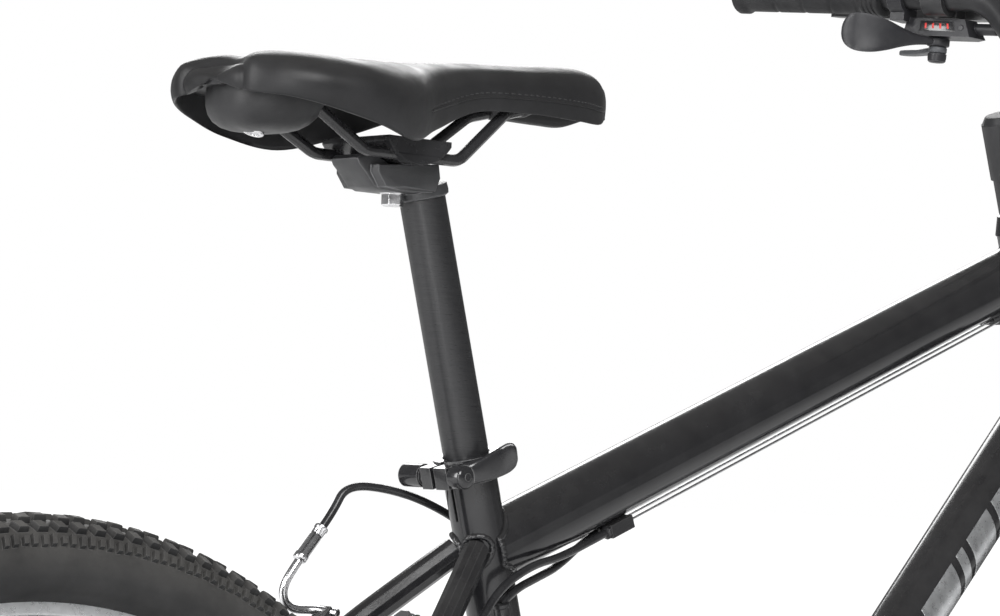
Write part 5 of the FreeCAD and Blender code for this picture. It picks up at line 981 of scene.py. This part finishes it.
def blade_rows(sign):
    """The thumb's paddle: a neck that rises into a broad blade standing on edge."""
    rows = []
    for step in range(0, 6 * (len(BLADE) - 1) + 1):
        place = step / 6
        along, forward, height, half, thick = smooth_row(BLADE, place)
        beyond = smooth_row(BLADE, min(place + 0.1, len(BLADE) - 1))
        before = smooth_row(BLADE, max(place - 0.1, 0))
        way = Vector((beyond[0] - before[0], beyond[1] - before[1])).normalized()
        ring = []
        for k in range(24):
            a = TURN * k / 24
            tall = squared(math.cos(a), 0.8) * half
            deep = squared(math.sin(a), 0.7) * thick + 0.012 * tall * tall
            ring.append(bar(along + way[1] * deep, forward - way[0] * deep, height + tall, sign) * MM)
        rows.append(ring if sign < 0 else list(reversed(ring)))
    return rows


def build_levers(side, sign):
    thumb = Parts()
    top = POD_LOW - 0.6
    thumb.grid(blade_rows(sign))
    thumb.grid(hub_rows(SHIFT_AT, SHIFT_AHEAD, [(top - 6.4, 6.6), (top - 6, 8.2), (top - 5.4, 8.7),
                                                (top - 0.8, 8.7), (top - 0.1, 8.2), (top, 7.4)], sign))
    paddle = add_object("thumb_paddle_" + side, sharpen(thumb.mesh("thumb_paddle_" + side), 50),
                        "shift_thumb_" + side, finishes["control_black"])
    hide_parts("shift_thumb_" + side)
    release = Parts()
    top = POD_LOW - 7.2
    shape = closed_curve([(SHIFT_AT + a, SHIFT_AHEAD + f) for a, f in RELEASE])
    soft_plate(release, shape, top - 4.6, top - 1, sign, 1.0)
    release.grid(hub_rows(SHIFT_AT, SHIFT_AHEAD, [(top - 5, 5.6), (top - 4.6, 6.6), (top - 4, 7.1),
                                                  (top - 0.8, 7.1), (top - 0.1, 6.6), (top, 6)], sign))
    finger = add_object("release_finger_" + side, sharpen(release.mesh("release_finger_" + side), 50),
                        "shift_release_" + side, finishes["control_grey"])
    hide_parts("shift_release_" + side)


for side, sign in (("left", 1), ("right", -1)):
    build_levers(side, sign)

# %% [markdown]
# ## Small fittings
# The guide tubes, boots, caps, bolts and welds are what make a frame look assembled. Each one is turned
# from a short profile or swept along a line, and each rides the body that it is fixed to.

# %% Helpers for fittings
WELD_RADIUS = 2.1
CABLE_HIGH = 104.0
CABLE_OUT = 4.5
LINK_SIDE = 23.4
ANCHOR_SIDE = -38.0
ARM_THICKNESS = 11.0
DOWN = Vector((0, 0, -1))
LEFTWARD = Vector((0, 1, 0))


def turned(centre, way, first, profile, sides=24):
    """A turned or faceted shape in millimetres; its first corner points along a given direction."""
    way = way.normalized()
    u = first.normalized()
    v = way.cross(u).normalized()
    rows = []
    for along, radius in profile:
        ring = [TURN * k / sides for k in range(sides)]
        rows.append([(centre + way * along + (u * math.cos(a) + v * math.sin(a)) * radius) * MM
                     for a in ring])
    return rows


def fitting(name, parts, body, slot, degrees=40):
    """Turns collected shells into a piece."""
    return add_object(name, sharpen(parts.mesh(name), degrees), body, finishes[slot])


def ribs(length, low, high, count):
    """The profile of a ribbed sleeve."""
    profile = [(0, low * 0.85)]
    step = length / count
    for k in range(count):
        start = k * step
        profile += [(start + 0.1 * step, low), (start + 0.3 * step, high), (start + 0.7 * step, high),
                    (start + 0.9 * step, low)]
    return profile + [(length, low * 0.85)]


def loop_tube(shell, points, radii, sides=10):
    """A closed ring of varying thickness through points, such as a weld bead."""
    rows = []
    count = len(points)
    middle = sum(points, Vector()) / count
    for k, point in enumerate(points):
        way = (points[(k + 1) % count] - points[k - 1]).normalized()
        out = (point - middle)
        out = (out - way * out.dot(way)).normalized()
        high = way.cross(out).normalized()
        rows.append([(point + (out * math.cos(a) + high * math.sin(a)) * radii[k]) * MM
                     for a in (TURN * c / sides for c in range(sides))])
    shell.grid(rows, wrap_rows=True)


print("fitting helpers ready")

# %% Dress the brakes
def dress_brake(name, brake, route, back, bearer, anchor):
    """The guide tube with its ferrule and cap on one arm; the boot, wire and anchor bolt on the other."""
    guide = tube_mesh(name + "_guide_tube", route, 5.2)
    guide.materials.clear()
    add_object(name + "_guide_tube", guide, bearer, finishes["bright_steel"])
    side_way = Vector((0, brake[2], 0))
    way = (route[-1] - route[-2]).normalized()
    ends = Parts()
    ends.grid(turned(route[-1], way, side_way, [(-24.8, 2.9), (-24.4, 3.8), (-23.6, 4.3), (-20.6, 4.3),
                                                (-19.8, 3.8), (-7, 3.8), (-6.4, 3.5), (-5.6, 3.5),
                                                (-5, 3.8), (-2, 3.8), (-1.4, 4.3), (0.2, 4.3),
                                                (0.6, 3.7)]))
    mouth = by_brake(brake, back + CABLE_OUT, LINK_SIDE, CABLE_HIGH)
    ends.grid(turned(mouth, -side_way, brake[3], [(0, 2.8), (0.5, 3.6), (2.2, 3.8), (3.4, 3.3),
                                                  (4.2, 2.2)]))
    fitting(name + "_guide_ends", ends, bearer, "bright_steel")
    boot = Parts()
    boot.grid(turned(by_brake(brake, back + CABLE_OUT, -6, CABLE_HIGH), -side_way, brake[3],
                     ribs(26, 2.8, 4.6, 9)))
    fitting(name + "_boot", boot, anchor, "housing_black")
    wire = tube_mesh(name + "_wire", [by_brake(brake, back + CABLE_OUT, s, CABLE_HIGH)
                                      for s in (19, -10, -34, -50)], BARE)
    wire.materials.clear()
    add_object(name + "_wire", wire, anchor, finishes["bright_steel"])
    bolt = Parts()
    head = by_brake(brake, back + ARM_THICKNESS, ANCHOR_SIDE, CABLE_HIGH)
    bolt.grid(turned(head, brake[1], side_way, [(-0.3, 7.4), (0.2, 7.8), (1.2, 7.8), (1.6, 7.4)]))
    bolt.grid(turned(head, brake[1], side_way, [(1.4, 6.0), (5.9, 6.0), (6.6, 5.3)], 6))
    fitting(name + "_anchor_bolt", bolt, anchor, "bright_steel", 25)


dress_brake("rear_brake", REAR_BRAKE, rear_noodle, 10, "rear_brake_left", "rear_brake_right")
dress_brake("front_brake", FRONT_BRAKE, front_noodle, 30, "front_brake_right", "front_brake_left")
print("brakes dressed")

# %% Ferrules and stops of the cables
stops = Parts()
for side in (-8, 0, 8):
    stops.grid(turned(lane(461, side), TOP_BACK_WAY, TOP_UP, ribs(17, 3.4, 4.3, 5)))
    stops.grid(turned(lane(42, side), TOP_BACK_WAY, TOP_UP, ribs(14, 3.4, 4.3, 4)))
stops.grid(turned(FRONT_GEAR_STOP - SEAT_UP * 8.4, SEAT_UP, SEAT_AHEAD,
                  [(0, 3.6), (0.6, 4.5), (2.6, 4.9), (3.4, 4.4), (13, 4.4), (13.6, 5.2), (15.6, 5.2),
                   (16.2, 4.0)]))
fitting("cable_ferrules", stops, "frame", "housing_black")
bolt = Parts()
under = Vector((-293.97, 0, 849.63))
bolt.grid(turned(under, DOWN, LEFTWARD, [(-3.2, 7.2), (-2.8, 7.6), (1.4, 7.6), (1.8, 7.2)]))
bolt.grid(turned(under, DOWN, LEFTWARD, [(1.5, 6.6), (8, 6.6), (8.9, 5.7)], 6))
fitting("clamp_bolt", bolt, "seatpost", "bright_steel", 25)
print("ferrules and clamp bolt placed")

# %% Weld beads
def weld_ring(root, way, wide, tall, host, host_way, host_radius, steps=96):
    """The line where a tube of oval section meets a round host tube, walking along the tube."""
    way, host_way = way.normalized(), host_way.normalized()
    side = Vector((0, 1, 0))
    side = (side - way * side.dot(way)).normalized()
    up = side.cross(way).normalized()
    points = []
    for k in range(steps):
        a = TURN * k / steps
        start = root + side * (wide * math.cos(a)) + up * (tall * math.sin(a))
        gap = (start - host) - host_way * (start - host).dot(host_way)
        step = way - host_way * way.dot(host_way)
        square, middle = step.dot(step), gap.dot(step)
        inside = max(middle ** 2 - square * (gap.dot(gap) - host_radius ** 2), 0)
        points.append(start + way * ((-middle - math.sqrt(inside)) / square))
    return points


def bead(shell, points, radius=WELD_RADIUS):
    """A bead with the small even ripples that a welder leaves."""
    total = sum((points[k] - points[k - 1]).length for k in range(len(points)))
    waves = max(round(total / 3.4), 8)
    radii = [radius * (0.86 + 0.14 * abs(math.sin(math.pi * waves * k / len(points))))
             for k in range(len(points))]
    loop_tube(shell, points, radii)


HEAD_ROOT = Vector((363.463, 0, 721.955))
HEAD_UP = Vector((-0.325568, 0, 0.945519))
DOWN_ROOT = Vector((-110.692, 0, 293.5))
DOWN_TOP = Vector((350.28, 0, 760.25))
DOWN_WAY = (DOWN_TOP - DOWN_ROOT).normalized()
TOP_MIDDLE = TOP_FRONT + TOP_BACK_WAY * 300
OVAL = (17.7, 20.7)
SEAT_TUBE_SKIN = 16.2
HEAD_TUBE_SKIN = 21.8
welds = Parts()
for sign in (-1, 1):
    low, high = Vector((-186, sign * 47.8, 280.7)), Vector((-112, sign * 9, 344))
    root = SEAT_ROOT + high - (high - low).normalized() * 30
    bead(welds, weld_ring(root, high - low, 8.6, 8.6, SEAT_ROOT, SEAT_UP, SEAT_TUBE_SKIN, 192), 1.9)
bead(welds, weld_ring(TOP_MIDDLE, TOP_BACK_WAY, *OVAL, SEAT_ROOT, SEAT_UP, SEAT_TUBE_SKIN, 288))
bead(welds, weld_ring(TOP_MIDDLE, -TOP_BACK_WAY, *OVAL, HEAD_ROOT, HEAD_UP, HEAD_TUBE_SKIN, 288))
bead(welds, weld_ring(DOWN_ROOT + DOWN_WAY * 400, DOWN_WAY, 21.4, 23.1, HEAD_ROOT, HEAD_UP,
                      HEAD_TUBE_SKIN, 288))
fitting("weld_beads", welds, "frame", "frame_black_gloss", 60)
print("weld beads:", len(welds.points) // 10, "steps")

# %% Silver bars on the down tube
DOWN_LOW_RADIUS = 20
DOWN_FLARE = 3
DOWN_LENGTH = 656


# Where a bike's name would be there are plain slanting bars, curved to the tube.
def curved_bar(shell, start, length, lean, half_angle, side, proud=0.25):
    """A thin plate wrapped on the down tube, slanting by a lean."""
    up = Vector((-DOWN_WAY.z, 0, DOWN_WAY.x))
    steps = 10
    rows = []
    for k in range(steps + 1):
        a = half_angle * (2 * k / steps - 1)
        out = Vector((0, side * math.cos(a), 0)) + up * math.sin(a)
        here = start + lean * (k / steps - 0.5)
        row = []
        for along, lift in ((here, -0.4), (here, proud), (here + length, proud), (here + length, -0.4)):
            radius = DOWN_LOW_RADIUS + DOWN_FLARE * along / DOWN_LENGTH + lift
            row.append((DOWN_ROOT + DOWN_WAY * along + out * radius) * MM)
        rows.append(row if side > 0 else list(reversed(row)))
    shell.grid(rows)


BARS_START = 300
BAR_GAP = 7
BAR_LENGTHS = (30, 9, 30, 9, 9, 44, 9, 30, 18, 30)
bars = Parts()
for side in (-1, 1):
    place = BARS_START
    for length in BAR_LENGTHS:
        curved_bar(bars, place, length, 9, math.radians(33), side)
        place += length + BAR_GAP
fitting("down_tube_bars", bars, "frame", "rim_silver", 30)
print("bars laid up to", place)

# %% The seat's quick-release lever
# The handle is pressed from one strip: round over the cam, then flat, curved out and up at its tip.
lever = Parts()
QR_HINGE = (409.5, -23.0)


def by_hinge(ahead, side, along):
    """A point by the quick release's pin."""
    return by_seat(QR_HINGE[0] + along, QR_HINGE[1] + ahead, side)


lever.grid(turned(by_hinge(0, 0, 0), Vector((0, -1, 0)), SEAT_UP,
                  [(12.7, 6.2), (13.1, 7), (21.5, 7), (22.6, 6.4), (23.4, 5), (23.6, 3)], 32))
STRIP = [(-3, -17.5, 0, 5.6, 3.0), (3, -19, 0.5, 6.4, 2.9), (8, -21.5, 1, 6.8, 2.5),
         (14, -24, 1.5, 7.3, 1.9), (20, -25.8, 2.4, 8, 1.6), (25.5, -27.4, 3.4, 8.5, 1.5),
         (29.5, -29.4, 4.6, 8.4, 1.5), (32, -31.2, 5.4, 6.9, 1.4), (33.2, -32.2, 5.8, 4.2, 1.1)]
rows = []
for place in range(0, 8 * (len(STRIP) - 1) + 1):
    ahead_by, side_by, along_by, half, thick = smooth_row(STRIP, place / 8)
    ring = []
    for k in range(20):
        a = TURN * k / 20
        flat = squared(math.cos(a), 0.6) * half
        deep = squared(math.sin(a), 0.8) * thick
        ring.append(by_hinge(ahead_by + 0.075 * flat + 0.35 * deep, side_by + deep, along_by + flat) * MM)
    rows.append(ring)
lever.grid(rows)
qr = fitting("quick_release", lever, "seat_lever", "collar_black", 45)
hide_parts("seat_qr_lever")
print("quick-release lever:", len(qr.data.polygons), "faces")

# %% The shifters' faces
POD_FACE = [((114, 4), (170, 2), -30.0), ((120, 6), (168, 4), -16.4)]


def pod_point(across_by, up_by, proud, sign):
    """A point on the pod's rear face, from shares of its width and height."""
    low = Vector(POD_FACE[0][0]).lerp(Vector(POD_FACE[0][1]), across_by)
    high = Vector(POD_FACE[1][0]).lerp(Vector(POD_FACE[1][1]), across_by)
    spot = low.lerp(high, up_by)
    return bar(spot[0], spot[1] - proud, POD_FACE[0][2] + (POD_FACE[1][2] - POD_FACE[0][2]) * up_by,
               sign) * MM


def pod_plate(shell, low, high, proud, sign):
    """A thin plate on the pod's rear face between two corners."""
    rows = []
    for depth, inset in ((-0.8, 0.0), (proud - 0.2, 0.0), (proud, 0.012)):
        ring = [pod_point(low[0] + inset, low[1] + inset * 4, depth, sign),
                pod_point(high[0] - inset, low[1] + inset * 4, depth, sign),
                pod_point(high[0] - inset, high[1] - inset * 4, depth, sign),
                pod_point(low[0] + inset, high[1] - inset * 4, depth, sign)]
        rows.append(ring if sign < 0 else list(reversed(ring)))
    shell.grid(rows)


mark_paint = bpy.data.materials.new("indicator_red")
mark_paint.use_nodes = True
paint = mark_paint.node_tree.nodes["Principled BSDF"]
paint.inputs["Base Color"].default_value = (0.45, 0.02, 0.015, 1)
paint.inputs["Roughness"].default_value = 0.45
tone = place_group(mark_paint.node_tree, uneven_surface, Scale=60.0, Low=0.38, High=0.52)
mark_paint.node_tree.links.new(tone.outputs["Value"], paint.inputs["Roughness"])
for side, sign in (("left", 1), ("right", -1)):
    window, marks, knob = Parts(), Parts(), Parts()
    pod_plate(window, (0.2, 0.28), (0.76, 0.86), 0.7, sign)
    for place in (0.3, 0.42, 0.54, 0.66):
        pod_plate(marks, (place - 0.015, 0.42), (place + 0.015, 0.72), 0.95, sign)
    knob_profile = [(-49.5, 3.2), (-49.2, 5.4), (-48.2, 6.8), (-45.2, 7.2), (-42.4, 7.2)]
    knob.grid(hub_rows(SHIFT_AT, SHIFT_AHEAD, knob_profile, sign))
    screw = pod_point(0.1, 0.5, 0.0, sign) / MM
    knob.grid(turned(screw, -BAR_AHEAD if sign > 0 else Vector((-BAR_AHEAD.x, BAR_AHEAD.y,
                                                                -BAR_AHEAD.z)), BAR_UP,
                     [(-0.8, 2.4), (0.4, 2.4), (0.9, 1.8)]))
    fitting("shifter_window_" + side, window, "steering", "collar_black", 25)
    fitting("pivot_knob_" + side, knob, "steering", "control_black")
    plate = add_object("window_marks_" + side, marks.mesh("window_marks_" + side, False), "steering",
                       mark_paint)
print("shifter faces dressed")

# %% [markdown]
# ## Under the saddle
# The shell under the cover is a thin plate with a rounded bowl at the tail, and the clamp head is a small
# casting with soft rims whose top is scooped to the cradle's own radius, so the saddle can tilt in it.

# %% Build the shell and the clamp head
TILT = Vector((-299.97, 0, 893.13))
TILT_REACH = 30.0
HEAD_SIDE = 17.0


def soft_prism(shell, outline, low, high, ease_by):
    """A block across the bike with softened rims, from an outline of (x, z) in millimetres."""
    middle = Vector([sum(p[k] for p in outline) / len(outline) for k in (0, 1)])
    levels = ((low, ease_by), (low + 0.3 * ease_by, 0.35 * ease_by), (low + ease_by, 0),
              (high - ease_by, 0),
              (high - 0.3 * ease_by, 0.35 * ease_by), (high, ease_by))
    rows = []
    for y, shrink in levels:
        ring = []
        for x, z in outline:
            away = Vector((x, z)) - middle
            spot = middle + away * max(1 - shrink / max(away.length, 1), 0)
            ring.append(Vector((spot[0], y, spot[1])) * MM)
        rows.append(ring)
    shell.grid(rows)


def shell_row(station, drop, thick):
    """A flat ring of the plate under one station of the cover."""
    x, half, roof = station[0], max(station[1] - 7.5, 5), station[5] - drop
    ring = []
    for k in range(24):
        a = TURN * k / 24
        ring.append(Vector((x, half * squared(math.cos(a), 0.5),
                            roof + thick * math.sin(a))) * MM)
    return ring


base = Parts()
places = [0.9 + (len(STATIONS) - 1.9) * k / 40 for k in range(41)]
base.grid([shell_row(smooth_row(STATIONS, place), 1.0, 1.6) for place in places])
bowl = []
for deep, share in ((0, 1.0), (5, 0.99), (11, 0.95), (16, 0.88), (20, 0.78), (23, 0.64), (24.6, 0.48),
                    (25.4, 0.3)):
    ring = []
    for k in range(40):
        a = TURN * k / 40
        ring.append(Vector((-389 - deep * 0.25 + 31 * share * squared(math.cos(a), 0.8),
                            34 * share * squared(math.sin(a), 0.8), 899 - deep)) * MM)
    bowl.append(ring)
base.grid(bowl)
for sign in (-1, 1):
    base.grid(turned(Vector((-386, sign * 25, 903)), Vector((10, 0, -12)), LEFTWARD,
                     [(0, 7.5), (10, 7.2), (12, 6.6), (13, 5)]))
    base.grid(turned(Vector((-196, sign * 12.8, 912)), Vector((-10, 0, -5)), LEFTWARD,
                     [(0, 7), (12, 6.8), (14, 6.2), (15, 5)]))
shell_piece = fitting("saddle_shell", base, "saddle", "base_plastic", 40)
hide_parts("saddle_base")
boss = Parts()
boss.grid(turned(Vector((-399, 0, 875)), Vector((-0.35, 0, -1)), LEFTWARD,
                 [(0, 6.5), (1.6, 6.5), (2.2, 5.9), (2.3, 4.2), (1.4, 4.0), (1.3, 0.6)]))
fitting("bowl_screw", boss, "saddle", "bright_steel")
head = Parts()
scoop = []
for degrees in range(-128, -51, 7):
    a = math.radians(degrees)
    scoop.append((TILT.x + (TILT_REACH + 0.6) * math.cos(a), TILT.z + (TILT_REACH + 0.6) * math.sin(a)))
outline = [(-278.5, 864), (-276.5, 861), (-277, 853), (-280, 849.2), (-286, 848.2), (-314, 848.2),
           (-319, 850),
           (-325, 856.5), (-331, 862), (-332.5, 865), (-330, 867.5)]
soft_prism(head, scoop + [p for p in outline if p[1] < 868], -HEAD_SIDE + 5, HEAD_SIDE - 5, 2.0)
soft_prism(head, [(-275, 866), (-273.5, 858), (-277, 850), (-300, 849.5), (-316, 850), (-322, 858),
                  (-322, 862)],
           -HEAD_SIDE - 1.6, HEAD_SIDE + 1.6, 1.4)
head.grid(turned(Vector((-271.8, 0, 850.5)), -SEAT_UP, LEFTWARD, [(-4, 15.6), (0, 16.0), (2.2, 15.7),
                                                                  (3, 14.6)], 40))
head_piece = fitting("clamp_head", head, "seatpost", "cast_grey", 35)
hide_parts("seat_clamp_head")
print("shell and clamp head:", len(shell_piece.data.polygons), len(head_piece.data.polygons))

# %% [markdown]
# ## The studio
# A pale floor, a white background and four soft lamps. The background is fully white only to the
# camera: reflections see it dimmed and the light that falls on the bike comes from a grey sky and the lamps,
# so black stays black. The floor keeps its own shading, so the bike's soft shadow still shows.

# %% Floor, sky and lamps
SKY_LIGHT = 0.6
MIRRORED_LIGHT = 0.2
FLOOR_LIFT = 0.62


def light_share(tree, mirrored, falling):
    """1 for the camera and through glass, and chosen shares for reflections and for light on the bike."""
    path = node(tree, "LightPath")
    direct = math_node(tree, "MAXIMUM", path.outputs["Is Camera Ray"],
                       path.outputs["Is Transmission Ray"])
    glossy = math_node(tree, "MULTIPLY", path.outputs["Is Glossy Ray"], mirrored)
    diffuse = math_node(tree, "MULTIPLY", path.outputs["Is Diffuse Ray"], falling)
    return math_node(tree, "MAXIMUM", direct, math_node(tree, "MAXIMUM", glossy, diffuse))


def build_sky():
    world = bpy.data.worlds.new("sky")
    world.use_nodes = True
    tree = world.node_tree
    sky = tree.nodes["Background"]
    sky.inputs["Color"].default_value = (1, 1, 1, 1)
    tree.links.new(light_share(tree, MIRRORED_LIGHT, SKY_LIGHT), sky.inputs["Strength"])
    bpy.context.scene.world = world


def build_floor():
    material = bpy.data.materials.new("pale_floor")
    material.use_nodes = True
    tree = material.node_tree
    shader = tree.nodes["Principled BSDF"]
    shader.inputs["Base Color"].default_value = (0.86, 0.86, 0.86, 1)
    shader.inputs["Roughness"].default_value = 0.9
    shader.inputs["Specular IOR Level"].default_value = 0.0
    glow = node(tree, "Emission")
    lift = math_node(tree, "MULTIPLY", light_share(tree, MIRRORED_LIGHT, 0.0), FLOOR_LIFT)
    tree.links.new(lift, glow.inputs["Strength"])
    both = node(tree, "AddShader")
    tree.links.new(shader.outputs[0], both.inputs[0])
    tree.links.new(glow.outputs[0], both.inputs[1])
    tree.links.new(both.outputs[0], tree.nodes["Material Output"].inputs["Surface"])
    corners = [(-30, -30, 0), (30, -30, 0), (30, 30, 0), (-30, 30, 0)]
    floor = add_object("floor", make_mesh("floor", corners, [(0, 1, 2, 3)], False), None, material)


def soft_lamp(name, place, size, power, aim=(0, 0, 0.6)):
    """A large square lamp turned towards a point."""
    lamp = bpy.data.lights.new(name, "AREA")
    lamp.shape = "RECTANGLE"
    lamp.size, lamp.size_y = size
    lamp.energy = power
    holder = bpy.data.objects.new(name, lamp)
    holder.location = place
    way = Vector(aim) - Vector(place)
    holder.rotation_euler = way.to_track_quat("-Z", "Y").to_euler()
    bpy.context.scene.collection.objects.link(holder)


bpy.context.scene.view_settings.view_transform = "Standard"
build_sky()
build_floor()
soft_lamp("key", (-2.4, -3.6, 3.2), (2.4, 1.8), 230)
soft_lamp("side", (-4.2, 1.2, 1.8), (1.2, 2.6), 150)
soft_lamp("far", (2.8, 3.4, 3.0), (2.6, 1.6), 80)
soft_lamp("strip", (-3.2, -1.9, 0.95), (0.3, 2.4), 60, (-0.25, 0, 0.8))
print("lamps:", [lamp.name for lamp in bpy.data.lights])
